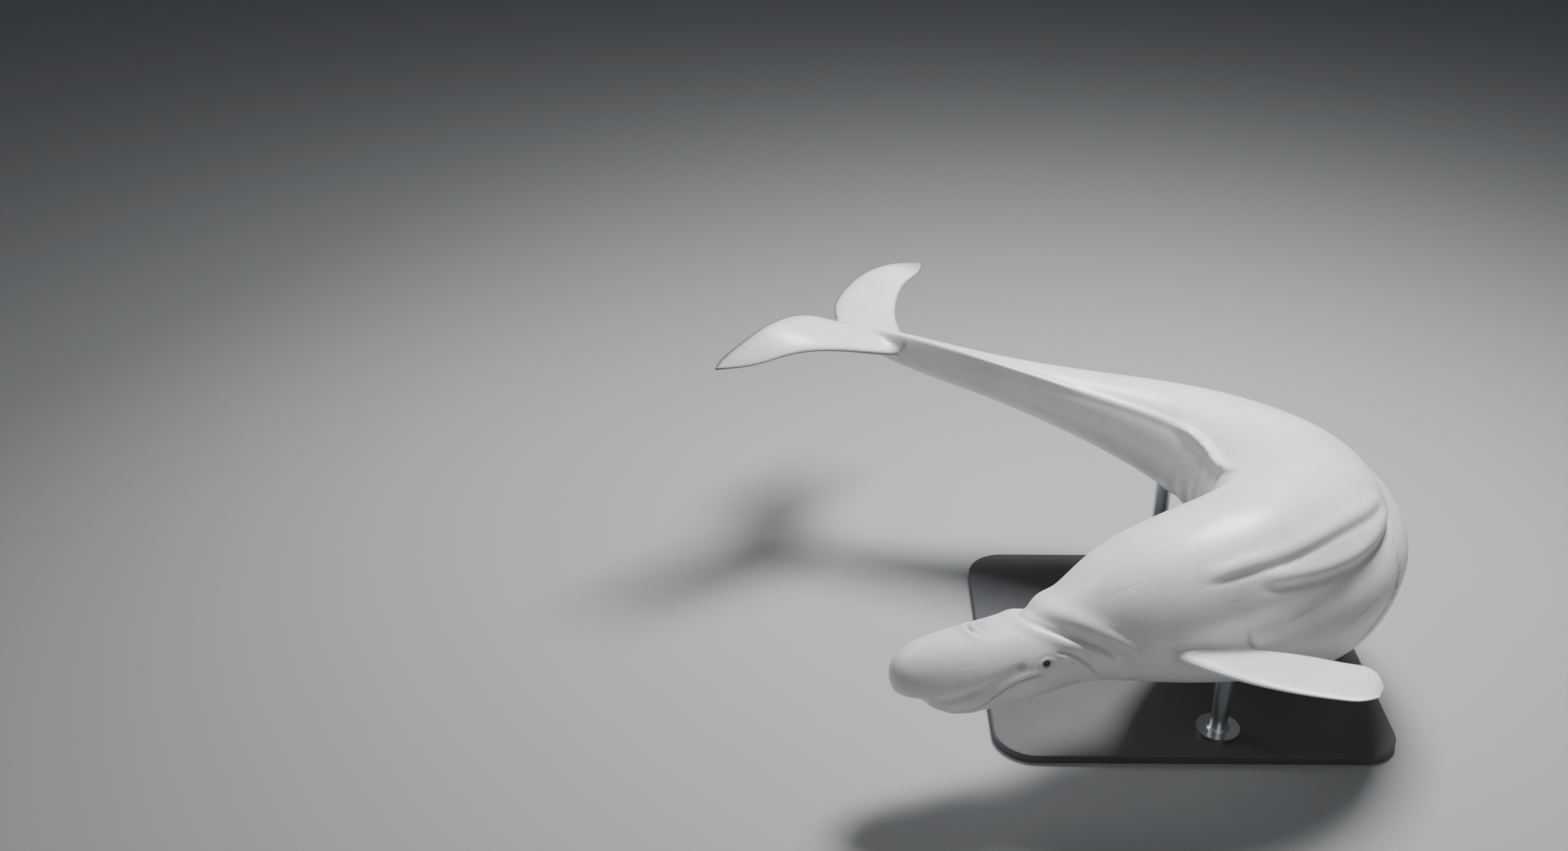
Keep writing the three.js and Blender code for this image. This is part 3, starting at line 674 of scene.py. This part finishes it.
@dataclass
class Blade:
    """A tapered limb: its edges, its thickness and how its span is placed."""

    lead: Stations
    trail: Stations
    thickness: float
    tip_thickness: float
    taper: float
    rows: int
    chord_faces: int
    flare: float = 0.012
    flare_reach: float = 0.13

    def mesh(self, place: Callable[[Array, Array, Array], Array],
             spread: float) -> bmesh.types.BMesh:
        """Builds the limb.

        Args:
            place: sets a share of the span, a distance across it and a height as points.
            spread: how strongly the rows are drawn to the tip.

        Returns:
            The closed limb, with its root inside the body.
        """
        mesh, share, angle = turned_sphere(self.chord_faces, self.rows)
        chord = 0.5 - 0.5 * np.cos(angle)
        face = np.sign(np.sin(angle))
        out = np.sin(share * math.pi / 2) ** spread
        inner = np.clip(1 - out, 0, 1) ** self.taper
        thick = self.tip_thickness + (self.thickness - self.tip_thickness) * inner
        thick = thick + self.flare * np.exp(-out / self.flare_reach)
        lead, trail = Curve(self.lead)(out), Curve(self.trail)(out)
        pole = (share <= 0) | (share >= 1)
        across = lead + (trail - lead) * np.where(pole, 0.5, chord)
        height = np.where(pole, 0, face * thick * foil(chord))
        move_to(mesh, place(out, across, height))
        return mesh


@dataclass
class Flukes:
    """The two lobes of the tail."""

    at: float = 3.715
    root: float = 3.575
    turn: float = -4.4
    tilt: float = 17.5
    half_span: float = 0.600
    sweep_power: float = 2.5
    sweep: dict[Side, float] = field(default_factory=lambda: {Side.LEFT: -0.135, Side.RIGHT: 0.235})
    twist: dict[Side, float] = field(default_factory=lambda: {Side.LEFT: 0.0, Side.RIGHT: 0.26})
    lift: dict[Side, Stations] = field(default_factory=lambda: {
        Side.LEFT: ((0, 0), (0.3, -0.008), (0.65, 0.030), (1, 0.044)),
        Side.RIGHT: ((0, 0), (0.3, 0.066), (0.65, 0.092), (1, 0)),
    })
    tip_tone: dict[Side, float] = field(default_factory=lambda: {Side.LEFT: 0.60, Side.RIGHT: 0.16})
    tip_start: tuple[float, float] = (0.76, 0.96)
    overlap: float = 0.003
    blade: Blade = field(default_factory=lambda: Blade(
        lead=((0, 0), (0.12, 0.062), (0.3, 0.156), (0.5, 0.228), (0.75, 0.280), (0.92, 0.310), (1, 0.350)),
        trail=((0, 0.335), (0.06, 0.362), (0.18, 0.404), (0.4, 0.436), (0.65, 0.436), (0.85, 0.414),
               (0.95, 0.388), (1, 0.362)),
        thickness=0.030, tip_thickness=0.004, taper=0.75, rows=110, chord_faces=64))

    def lobe(self, spine: Spine, side: Side) -> bmesh.types.BMesh:
        """One lobe, with its root inside the stock."""
        axes = spine.rigid(self.at, self.turn, self.tilt)
        lift = Curve(self.lift[side])

        def place(out: Array, across: Array, height: Array) -> Array:
            swept = self.sweep[side] * out ** self.sweep_power
            middle = (Curve(self.blade.lead)(out) + Curve(self.blade.trail)(out)) / 2
            twisted = self.twist[side] * np.sin(math.pi * out) * (across - middle)
            return axes.place(self.root + swept + across, side.value * (out * self.half_span - self.overlap),
                              lift(out) + twisted + height)

        return self.blade.mesh(place, spread=0.9)

    def edge_tone(self, spine: Spine, points: Array) -> Array:
        """How near each point is to the dark edge or tip of a lobe, from 0 to 1.

        Args:
            spine: the body's spine.
            points: places in the frame.

        Returns:
            The tone at each point.
        """
        axes = spine.rigid(self.at, self.turn, self.tilt)
        local = points - axes.origin
        a, height = local @ axes.left, local @ axes.dorsal
        total = np.zeros(len(points))
        for side in Side:
            out = np.clip((a * side.value + self.overlap) / self.half_span, 0, 1)
            x = local @ axes.tailward + self.at - self.root - self.sweep[side] * out ** self.sweep_power
            to_trail = Curve(self.blade.trail)(out) - x
            to_lead = x - Curve(self.blade.lead)(out)
            on_lobe = ((a * side.value > 0.03) & (np.abs(height - Curve(self.lift[side])(out)) < 0.06)
                       & (to_lead > -0.03) & (to_trail > -0.03))
            tone = sum(strength * bell(to_edge, width) for to_edge, strength, width in (
                (to_trail, 0.9, 0.008), (to_trail, 0.30, 0.030), (to_lead, 0.6, 0.006)))
            tone += self.tip_tone[side] * ease(*self.tip_start, out)
            total += np.where(on_lobe, tone, 0)
        return np.clip(total, 0, 1)


@dataclass
class FlipperPose:
    """How one flipper leaves the chest."""

    exit: tuple[float, float]
    out: Triple
    forward: Triple
    curl: float


@dataclass
class Flippers:
    """The two paddles behind the neck."""

    at: float = 1.055
    length: float = 0.640
    sunk: float = 0.090
    poses: dict[Side, FlipperPose] = field(default_factory=lambda: {
        Side.LEFT: FlipperPose((0.985, -0.24), (0.705, 0.67, -0.15), (-0.58, 0.74, -0.035), 0.016),
        Side.RIGHT: FlipperPose((1.04, -0.6), (0.66, 0.58, -0.48), (-0.6, 0.75, 0.1), 0.026),
    })
    blade: Blade = field(default_factory=lambda: Blade(
        lead=((0, -0.074), (0.3, -0.108), (0.6, -0.120), (0.85, -0.108), (0.95, -0.088), (1, -0.060)),
        trail=((0, 0.062), (0.3, 0.084), (0.6, 0.112), (0.82, 0.112), (0.95, 0.074), (1, 0.010)),
        thickness=0.021, tip_thickness=0.005, taper=0.6, rows=90, chord_faces=56, flare=0.016))

    def frame(self, spine: Spine, form: TrunkForm, side: Side) -> tuple[Array, ...]:
        """The flipper's root point and its out, forward and upward directions."""
        pose = self.poses[side]
        x, a, b = form.skin(*pose.exit)
        axes = spine.rigid(self.at)
        out, forward = (axes.direction(v[0], side.value * v[1], v[2]) for v in (pose.out, pose.forward))
        forward = forward - out * (forward @ out)
        forward /= np.linalg.norm(forward)
        upward = np.cross(out, forward)
        upward *= 1 if upward[2] >= 0 else -1
        return spine.bent(x, side.value * a, b) - out * self.sunk, out, forward, upward

    def paddle(self, spine: Spine, form: TrunkForm, side: Side) -> bmesh.types.BMesh:
        """One flipper, with its root inside the chest."""
        root, out_axis, forward, upward = self.frame(spine, form, side)
        curl = self.poses[side].curl

        def place(out: Array, across: Array, height: Array) -> Array:
            lift = curl * out ** 3 + height
            return (root + out_axis * (out * self.length)[:, None] - forward * across[:, None]
                    + upward * lift[:, None])

        return self.blade.mesh(place, spread=1.0)

    def edge_tone(self, spine: Spine, form: TrunkForm, points: Array) -> Array:
        """How near each point is to the grey hind edge of a flipper, from 0 to 1."""
        total = np.zeros(len(points))
        for side in Side:
            root, out_axis, forward, upward = self.frame(spine, form, side)
            local = points - root
            out = local @ out_axis / self.length
            across = -(local @ forward)
            near = (out > 0.3) & (out < 1.02) & (np.abs(local @ upward) < 0.06)
            to_trail = Curve(self.blade.trail)(np.clip(out, 0, 1)) - across
            tone = 0.55 * bell(to_trail, 0.007) + 0.5 * ease(0.94, 1.01, out)
            total += np.where(near & (np.abs(across) < 0.14), tone, 0)
        return np.clip(total, 0, 1)


class Net:
    """A material's nodes, with sockets that can be used in expressions."""

    def __init__(self, name: str) -> None:
        """Starts an empty material with a principled shader.

        Args:
            name: the material's name.
        """
        self.material = bpy.data.materials.new(name)
        self.material.use_nodes = True
        self.tree = self.material.node_tree
        self.tree.nodes.clear()
        self.shader = self.tree.nodes.new("ShaderNodeBsdfPrincipled")
        output = self.tree.nodes.new("ShaderNodeOutputMaterial")
        self.tree.links.new(self.shader.outputs[0], output.inputs[0])

    def node(self, kind: str, settings: Optional[dict] = None,
             inputs: Optional[dict] = None) -> bpy.types.Node:
        """Adds a node.

        Args:
            kind: the node's type, without its ShaderNode prefix.
            settings: its own settings, set first. A ramp's stops are given as "stops".
            inputs: values or links for its sockets, by name or place.

        Returns:
            The node.
        """
        made = self.tree.nodes.new("ShaderNode" + kind)
        for name, value in (settings or {}).items():
            if name == "stops":
                self._set_stops(made, value)
            else:
                setattr(made, name, value)
        for name, value in (inputs or {}).items():
            self.put(made.inputs[name], value)
        return made

    @staticmethod
    def _set_stops(made: bpy.types.Node, stops: Sequence[tuple[float, float]]) -> None:
        """Gives a colour ramp its stops, as pairs of a place and a grey."""
        elements = made.color_ramp.elements
        while len(elements) < len(stops):
            elements.new(0.5)
        for element, (place, grey) in zip(elements, stops):
            element.position = place
            element.color = (grey, grey, grey, 1)

    def put(self, socket: bpy.types.NodeSocket, value: object) -> None:
        """Links a socket to an expression, or sets it to a value."""
        if isinstance(value, Wire):
            self.tree.links.new(value.socket, socket)
        else:
            socket.default_value = value

    def dress(self, sockets: dict) -> bpy.types.Material:
        """Sets the shader's sockets by name, and gives the finished material."""
        for name, value in sockets.items():
            self.put(self.shader.inputs[name], value)
        return self.material

    def wire(self, made: bpy.types.Node, output: Union[int, str] = 0) -> "Wire":
        """An output of a node, to be used in expressions."""
        return Wire(self, made.outputs[output])

    def noise(self, vector: "Wire", scale: float, detail: float = 3.0, roughness: float = 0.5) -> "Wire":
        """A soft noise over a vector, from 0 to 1."""
        made = self.node("TexNoise", None, {"Vector": vector, "Scale": scale, "Detail": detail,
                                            "Roughness": roughness})
        return self.wire(made)

    def ramp(self, value: "Wire", stops: Sequence[tuple[float, float]]) -> "Wire":
        """A value passed through grey stops."""
        return self.wire(self.node("ValToRGB", {"stops": stops}, {"Fac": value}))

    def blend(self, factor: "Wire", first: object, second: object) -> "Wire":
        """A colour between two, by a factor."""
        made = self.node("Mix", {"data_type": "RGBA"}, {"Factor": factor})
        self.put(made.inputs[MIX_FIRST], first)
        self.put(made.inputs[MIX_SECOND], second)
        return self.wire(made, MIX_RESULT)

    def scaled(self, vector: "Wire", factors: Triple) -> "Wire":
        """A vector with each of its axes scaled."""
        return self.wire(self.node("VectorMath", {"operation": "MULTIPLY"}, {0: vector, 1: factors}))

    def attribute(self, name: str) -> "Wire":
        """A number kept on the mesh's vertices."""
        return self.wire(self.node("Attribute", {"attribute_name": name}), "Fac")

    def bump(self, height: "Wire", distance: float, strength: float,
             normal: Optional["Wire"] = None) -> "Wire":
        """A bump from a height."""
        inputs: dict = {"Height": height, "Distance": distance, "Strength": strength}
        if normal is not None:
            inputs["Normal"] = normal
        return self.wire(self.node("Bump", None, inputs))


@dataclass(frozen=True)
class Wire:
    """A socket that adds Math nodes when it is used in an expression."""

    net: Net
    socket: bpy.types.NodeSocket

    def _math(self, operation: str, first: object, second: object) -> "Wire":
        """Adds one Math node and returns its output."""
        return self.net.wire(self.net.node("Math", {"operation": operation}, {0: first, 1: second}))

    def __add__(self, other: object) -> "Wire":
        """This plus other."""
        return self._math("ADD", self, other)

    __radd__ = __add__

    def __sub__(self, other: object) -> "Wire":
        """This less other."""
        return self._math("SUBTRACT", self, other)

    def __rsub__(self, other: object) -> "Wire":
        """Other less this."""
        return self._math("SUBTRACT", other, self)

    def __mul__(self, other: object) -> "Wire":
        """This times other."""
        return self._math("MULTIPLY", self, other)

    __rmul__ = __mul__


@dataclass(frozen=True)
class SkinFinish:
    """White whale skin: faint grey mottling, grey specks and edges, fine scars, painted shade in its slits
    and folds, and a soft wet gloss.
    """

    white: Colour = (0.84, 0.84, 0.83, 1)
    cool: Colour = (0.50, 0.51, 0.53, 1)
    stain: Colour = (0.16, 0.16, 0.165, 1)
    gloss: float = 0.34

    def material(self) -> bpy.types.Material:
        """Builds the material."""
        net = Net("whale_skin")
        place = net.wire(net.node("TexCoord"), "Object")
        broad = net.noise(place, 2.2, 4.0, 0.55)
        patchy = net.noise(place, 9.0, 5.0, 0.6)
        fine = net.noise(place, 90.0, 3.0, 0.6)
        mottle = net.ramp(broad * 0.6 + patchy * 0.4, ((0.42, 0.0), (0.70, 1.0)))
        base = net.blend(mottle * 0.42, self.white, self.cool)
        along, turn = net.attribute("station"), net.attribute("turn")
        lined = net.wire(net.node("CombineXYZ", None, {"X": along * 3.0, "Y": turn * 60.0, "Z": 0.0}))
        scars = net.ramp(net.noise(lined, 1.0, 2.0, 0.5), ((0.66, 0.0), (0.72, 1.0)))
        base = net.blend(scars * 0.24, base, self.stain)
        specks = net.ramp(net.noise(place, 60.0, 2.0, 0.5), ((0.70, 0.0), (0.76, 1.0)))
        base = net.blend(specks * 0.18, base, self.stain)
        # The kept tone paints shade into the slits, folds and dips, and greys the edges of the limbs.
        base = net.blend(net.attribute("stain"), base, self.stain)
        ripples = net.bump(net.noise(place, 26.0, 3.0, 0.5), 0.0012, 0.55)
        scarred = net.bump(1 - scars, 0.0006, 0.6, ripples)
        return net.dress({"Base Color": base, "Roughness": 0.10 * patchy + (self.gloss - 0.03),
                          "Specular IOR Level": 0.5, "Coat Roughness": 0.18, "Coat Weight": 0.12,
                          "Normal": net.bump(fine, 0.0004, 0.5, scarred)})


@dataclass(frozen=True)
class EyeFinish:
    """A dark wet eye."""

    iris: Colour = (0.030, 0.022, 0.016, 1)
    rim: Colour = (0.012, 0.010, 0.010, 1)

    def material(self) -> bpy.types.Material:
        """Builds the material."""
        net = Net("whale_eye")
        place = net.wire(net.node("TexCoord"), "Object")
        flecks = net.noise(place, 220.0, 3.0, 0.5)
        return net.dress({"Base Color": net.blend(flecks, self.iris, self.rim),
                          "Roughness": 0.04 * flecks + 0.06, "Coat Weight": 1.0, "Coat Roughness": 0.03})


@dataclass(frozen=True)
class PaintFinish:
    """Satin dark grey paint on the base, with a fine texture and faint dust."""

    paint: Colour = (0.070, 0.074, 0.080, 1)
    dust: Colour = (0.16, 0.16, 0.165, 1)

    def material(self) -> bpy.types.Material:
        """Builds the material."""
        net = Net("stand_paint")
        place = net.wire(net.node("TexCoord"), "Object")
        cloud = net.noise(place, 3.0, 4.0, 0.6)
        grain = net.noise(place, 700.0, 2.0, 0.5)
        return net.dress({"Base Color": net.blend(cloud * 0.35, self.paint, self.dust),
                          "Roughness": 0.16 * cloud + 0.38, "Normal": net.bump(grain, 0.0003, 0.5)})


@dataclass(frozen=True)
class SteelFinish:
    """Brushed steel on the rods, with its grain round them."""

    steel: Colour = (0.62, 0.63, 0.64, 1)
    worn: Colour = (0.46, 0.47, 0.48, 1)

    def material(self) -> bpy.types.Material:
        """Builds the material."""
        net = Net("stand_steel")
        place = net.wire(net.node("TexCoord"), "Object")
        grain = net.noise(net.scaled(place, (4.0, 4.0, 900.0)), 1.0, 3.0, 0.6)
        return net.dress({"Base Color": net.blend(grain * 0.5, self.steel, self.worn), "Metallic": 1.0,
                          "Roughness": 0.14 * grain + 0.24, "Normal": net.bump(grain, 0.0002, 0.4)})


def new_object(name: str, mesh: bmesh.types.BMesh, smooth: bool = True) -> bpy.types.Object:
    """Makes an object at the origin from a mesh.

    Args:
        name: the object's name.
        mesh: its mesh, which is freed.
        smooth: whether its faces shade smoothly.

    Returns:
        The object, in the scene.
    """
    data = bpy.data.meshes.new(name)
    mesh.to_mesh(data)
    mesh.free()
    data.polygons.foreach_set("use_smooth", [smooth] * len(data.polygons))
    made = bpy.data.objects.new(name, data)
    bpy.context.scene.collection.objects.link(made)
    return made


@dataclass
class Whale:
    """The animal: one skin over the solids of flesh, and two eyes."""

    around: int = 208
    along: int = 366
    ring_power: float = 1.75
    seam_reach: float = 0.035
    seam_rounds: int = 14
    seam_shares: tuple[float, ...] = (1.0, 0.7, 0.45)
    form: TrunkForm = field(default_factory=TrunkForm)
    flukes: Flukes = field(default_factory=Flukes)
    flippers: Flippers = field(default_factory=Flippers)

    def __post_init__(self) -> None:
        """Sets the spine so that the left eye lies where its solid does."""
        self.spine = Spine()
        low, high = (np.array(corner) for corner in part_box("eye_left"))
        self.spine.start = (low + high) / 2 - self.eye_centre(Side.LEFT)

    def eye_centre(self, side: Side) -> Array:
        """The middle of an eyeball, sunk in the head's side."""
        x, b = self.form.eye.place
        a = self.form.eye_depth() - self.form.eye.radius * self.form.eye.sunk
        return self.spine.bent(x, side.value * a, b)

    def trunk(self) -> bmesh.types.BMesh:
        """The trunk's fine skin, closed to a point at both ends."""
        mesh, share, angle = turned_sphere(self.around, self.along)
        x = BODY_END * share ** self.ring_power
        x, a, b = self.form.skin(x, angle)
        tail_pole = share >= 1
        move_to(mesh, self.spine.bent(x, np.where(tail_pole, 0, a), np.where(tail_pole, 0, b)))
        return mesh

    def merged(self) -> bpy.types.Object:
        """The trunk and its limbs as one closed skin.

        Returns:
            The skin's object, with the limbs' faces in material place 1.
        """
        skin = new_object("whale_skin", self.trunk())
        limbs = [new_object("lobe", self.flukes.lobe(self.spine, side)) for side in Side]
        limbs += [new_object("paddle", self.flippers.paddle(self.spine, self.form, side)) for side in Side]
        markers = [bpy.data.materials.new(name) for name in ("on_trunk", "on_limb")]
        for piece in [skin, *limbs]:
            for marker in markers:
                piece.data.materials.append(marker)
        for limb in limbs:
            limb.data.polygons.foreach_set("material_index", [1] * len(limb.data.polygons))
            join = skin.modifiers.new("join", "BOOLEAN")
            join.operation = "UNION"
            join.solver = "EXACT"
            join.object = limb
        bpy.context.view_layer.update()
        evaluated = skin.evaluated_get(bpy.context.evaluated_depsgraph_get())
        joined = bpy.data.meshes.new_from_object(evaluated)
        skin.modifiers.clear()
        skin.data = joined
        for limb in limbs:
            bpy.data.objects.remove(limb)
        return skin

    def soften_seams(self, mesh: bmesh.types.BMesh) -> None:
        """Smooths the skin where a limb grows from the trunk, so that no seam shows."""
        seam = [vert for vert in mesh.verts if len({face.material_index for face in vert.link_faces}) > 1]
        tree = kdtree.KDTree(len(seam))
        for i, vert in enumerate(seam):
            tree.insert(vert.co, i)
        tree.balance()
        distance = {vert: tree.find(vert.co)[2] for vert in mesh.verts}
        for share in self.seam_shares:
            near = [vert for vert in mesh.verts if distance[vert] < self.seam_reach * share]
            for _ in range(self.seam_rounds):
                bmesh.ops.smooth_vert(mesh, verts=near, factor=0.5, use_axis_x=True, use_axis_y=True,
                                      use_axis_z=True)
        LOG.info("  seam of %d vertices softened", len(seam))

    def body_places(self, points: Array) -> tuple[Array, Array, Array]:
        """The body places nearest to some points.

        Args:
            points: places in the frame.

        Returns:
            Body places x, a and b.
        """
        tree = kdtree.KDTree(len(self.spine.points))
        for i, point in enumerate(self.spine.points + self.spine.start):
            tree.insert(point, i)
        tree.balance()
        x = np.array([tree.find(point)[1] for point in points]) * self.spine.step
        tailward, left, dorsal = self.spine.axes(x)
        local = points - self.spine.at(x)
        x = x + np.einsum("ij,ij->i", local, tailward)
        return x, np.einsum("ij,ij->i", local, left), np.einsum("ij,ij->i", local, dorsal)

    def stains(self, x: Array, a: Array, b: Array, points: Array) -> Array:
        """How dark the skin is, from 0 to 1, at body places and the same places in the frame: painted shade
        in the slits, folds and dips, and the grey edges of the limbs.
        """
        tone = self.form.tone(x, a, b) + self.flukes.edge_tone(self.spine, points)
        return np.clip(tone + self.flippers.edge_tone(self.spine, self.form, points), 0, 1)

    @staticmethod
    def keep(data: bpy.types.Mesh, name: str, values: Array) -> None:
        """Keeps a number on each vertex of a mesh."""
        layer = data.attributes.new(name, "FLOAT", "POINT")
        layer.data.foreach_set("value", values.astype(np.float32))

    def build_skin(self) -> None:
        """Builds, dresses and places the skin."""
        skin = self.merged()
        mesh = bmesh.new()
        mesh.from_mesh(skin.data)
        bmesh.ops.remove_doubles(mesh, verts=mesh.verts, dist=1e-6)
        self.soften_seams(mesh)
        for face in mesh.faces:
            face.material_index = 0
            face.smooth = True
        mesh.to_mesh(skin.data)
        mesh.free()
        skin.data.materials.clear()
        skin.data.materials.append(SkinFinish().material())
        points = np.empty(len(skin.data.vertices) * 3)
        skin.data.vertices.foreach_get("co", points)
        points = points.reshape(-1, 3)
        x, a, b = self.body_places(points)
        self.keep(skin.data, "station", x)
        self.keep(skin.data, "turn", np.arctan2(b, a) / math.pi)
        self.keep(skin.data, "stain", self.stains(x, a, b, points))
        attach(skin, "root")
        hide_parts("head", "lower_jaw", "neck", "chest", "belly", "hips", "tail_stock",
                    "flipper_left", "flipper_right", "fluke_left", "fluke_right")
        LOG.info("whale_skin: %d faces", len(skin.data.polygons))

    def build_eyes(self) -> None:
        """Builds the eyes in the places of their solids."""
        finish = EyeFinish().material()
        for side in Side:
            mesh = bmesh.new()
            bmesh.ops.create_uvsphere(mesh, u_segments=48, v_segments=32, radius=self.form.eye.radius)
            bmesh.ops.translate(mesh, verts=mesh.verts, vec=Vector(self.eye_centre(side)))
            eye = new_object(f"eyeball_{side.word}", mesh)
            eye.data.materials.append(finish)
            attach(eye, "root")
            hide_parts(f"eye_{side.word}")
            LOG.info("%s: %d faces", eye.name, len(eye.data.polygons))

    def build(self) -> None:
        """Builds the whole animal."""
        self.build_skin()
        self.build_eyes()


@dataclass
class Stand:
    """The flat base and the two rods, which keep their solids."""

    rods: tuple[str, str] = ("stand_rod_front", "stand_rod_rear")

    def build(self) -> None:
        """Gives the stand's solids their finishes."""
        paint, steel = PaintFinish().material(), SteelFinish().material()
        for name, finish in (("stand_base", paint), *((rod, steel) for rod in self.rods)):
            node = bpy.data.objects[name]
            node.data.materials.clear()
            node.data.materials.append(finish)
            LOG.info("%s: dressed", name)


@dataclass(frozen=True)
class SoftLight:
    """A square light: its name, place, width and power."""

    name: str
    place: Triple
    width: float
    power: float


@dataclass
class Studio:
    """A pale floor, soft lights and the camera at the photo's viewing angle."""

    lights: tuple[SoftLight, ...] = (
        SoftLight("key", (1.0, 1.3, 4.8), 1.5, 400.0),
        SoftLight("side", (-3.0, 1.6, 2.8), 1.6, 34.0),
        SoftLight("fill", (0.6, -5.5, 3.8), 3.0, 44.0),
    )
    aim: Triple = (0.2, 0.0, 0.6)
    room: Colour = (0.70, 0.74, 0.80, 1)
    room_strength: float = 0.10
    floor_colour: Colour = (0.40, 0.41, 0.42, 1)
    floor_roughness: float = 0.85
    floor_gap: float = 0.0005

    elevation: float = 29.0
    azimuth: float = 0.54
    distance: float = 5.08
    from_eye: Triple = (-0.8514, 0.0431, 0.8542)
    focal_pixels: float = 2674.0
    sensor: float = 36.0
    floor_size: float = 40.0

    def build(self) -> None:
        """Builds the floor, the lights and the camera."""
        self._floor()
        self._lights()
        self._camera()

    def _floor(self) -> None:
        """Lays the floor under the base."""
        mesh = bmesh.new()
        bmesh.ops.create_grid(mesh, x_segments=4, y_segments=4, size=self.floor_size / 2)
        bmesh.ops.translate(mesh, verts=mesh.verts, vec=(0, 0, -self.floor_gap))
        floor = new_object("floor", mesh, smooth=False)
        paint = {"Base Color": self.floor_colour, "Roughness": self.floor_roughness}
        floor.data.materials.append(Net("floor_pale").dress(paint))

    def _lights(self) -> None:
        """Sets a large soft light overhead, a weak one at the side, a fill by the camera and a dim room."""
        world = bpy.data.worlds.new("room")
        world.use_nodes = True
        background = world.node_tree.nodes["Background"]
        background.inputs["Color"].default_value = self.room
        background.inputs["Strength"].default_value = self.room_strength
        bpy.context.scene.world = world
        for soft in self.lights:
            data = bpy.data.lights.new(soft.name, "AREA")
            data.size = soft.width
            data.energy = soft.power
            light = bpy.data.objects.new(soft.name, data)
            light.location = soft.place
            toward = Vector(self.aim) - Vector(soft.place)
            light.rotation_euler = toward.to_track_quat("-Z", "Y").to_euler()
            bpy.context.scene.collection.objects.link(light)

    def _camera(self) -> None:
        """Sets the camera and makes it the scene's."""
        data = bpy.data.cameras.new("camera")
        data.sensor_width = self.sensor
        data.lens = self.focal_pixels * self.sensor / PHOTO_WIDTH
        camera = bpy.data.objects.new("camera", data)
        elevation, azimuth = math.radians(self.elevation), math.radians(self.azimuth)
        away = Vector((math.sin(azimuth) * math.cos(elevation),
                       -math.cos(azimuth) * math.cos(elevation), math.sin(elevation)))
        low, high = (Vector(corner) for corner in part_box("eye_left"))
        target = (low + high) / 2 + Vector(self.from_eye)
        camera.location = target + away * self.distance
        camera.rotation_euler = away.to_track_quat("Z", "Y").to_euler()
        bpy.context.scene.collection.objects.link(camera)
        bpy.context.scene.camera = camera


def main() -> None:
    """Builds the studio, the whale and the stand."""
    Studio().build()
    Whale().build()
    Stand().build()


if __name__ == "__main__":
    main()
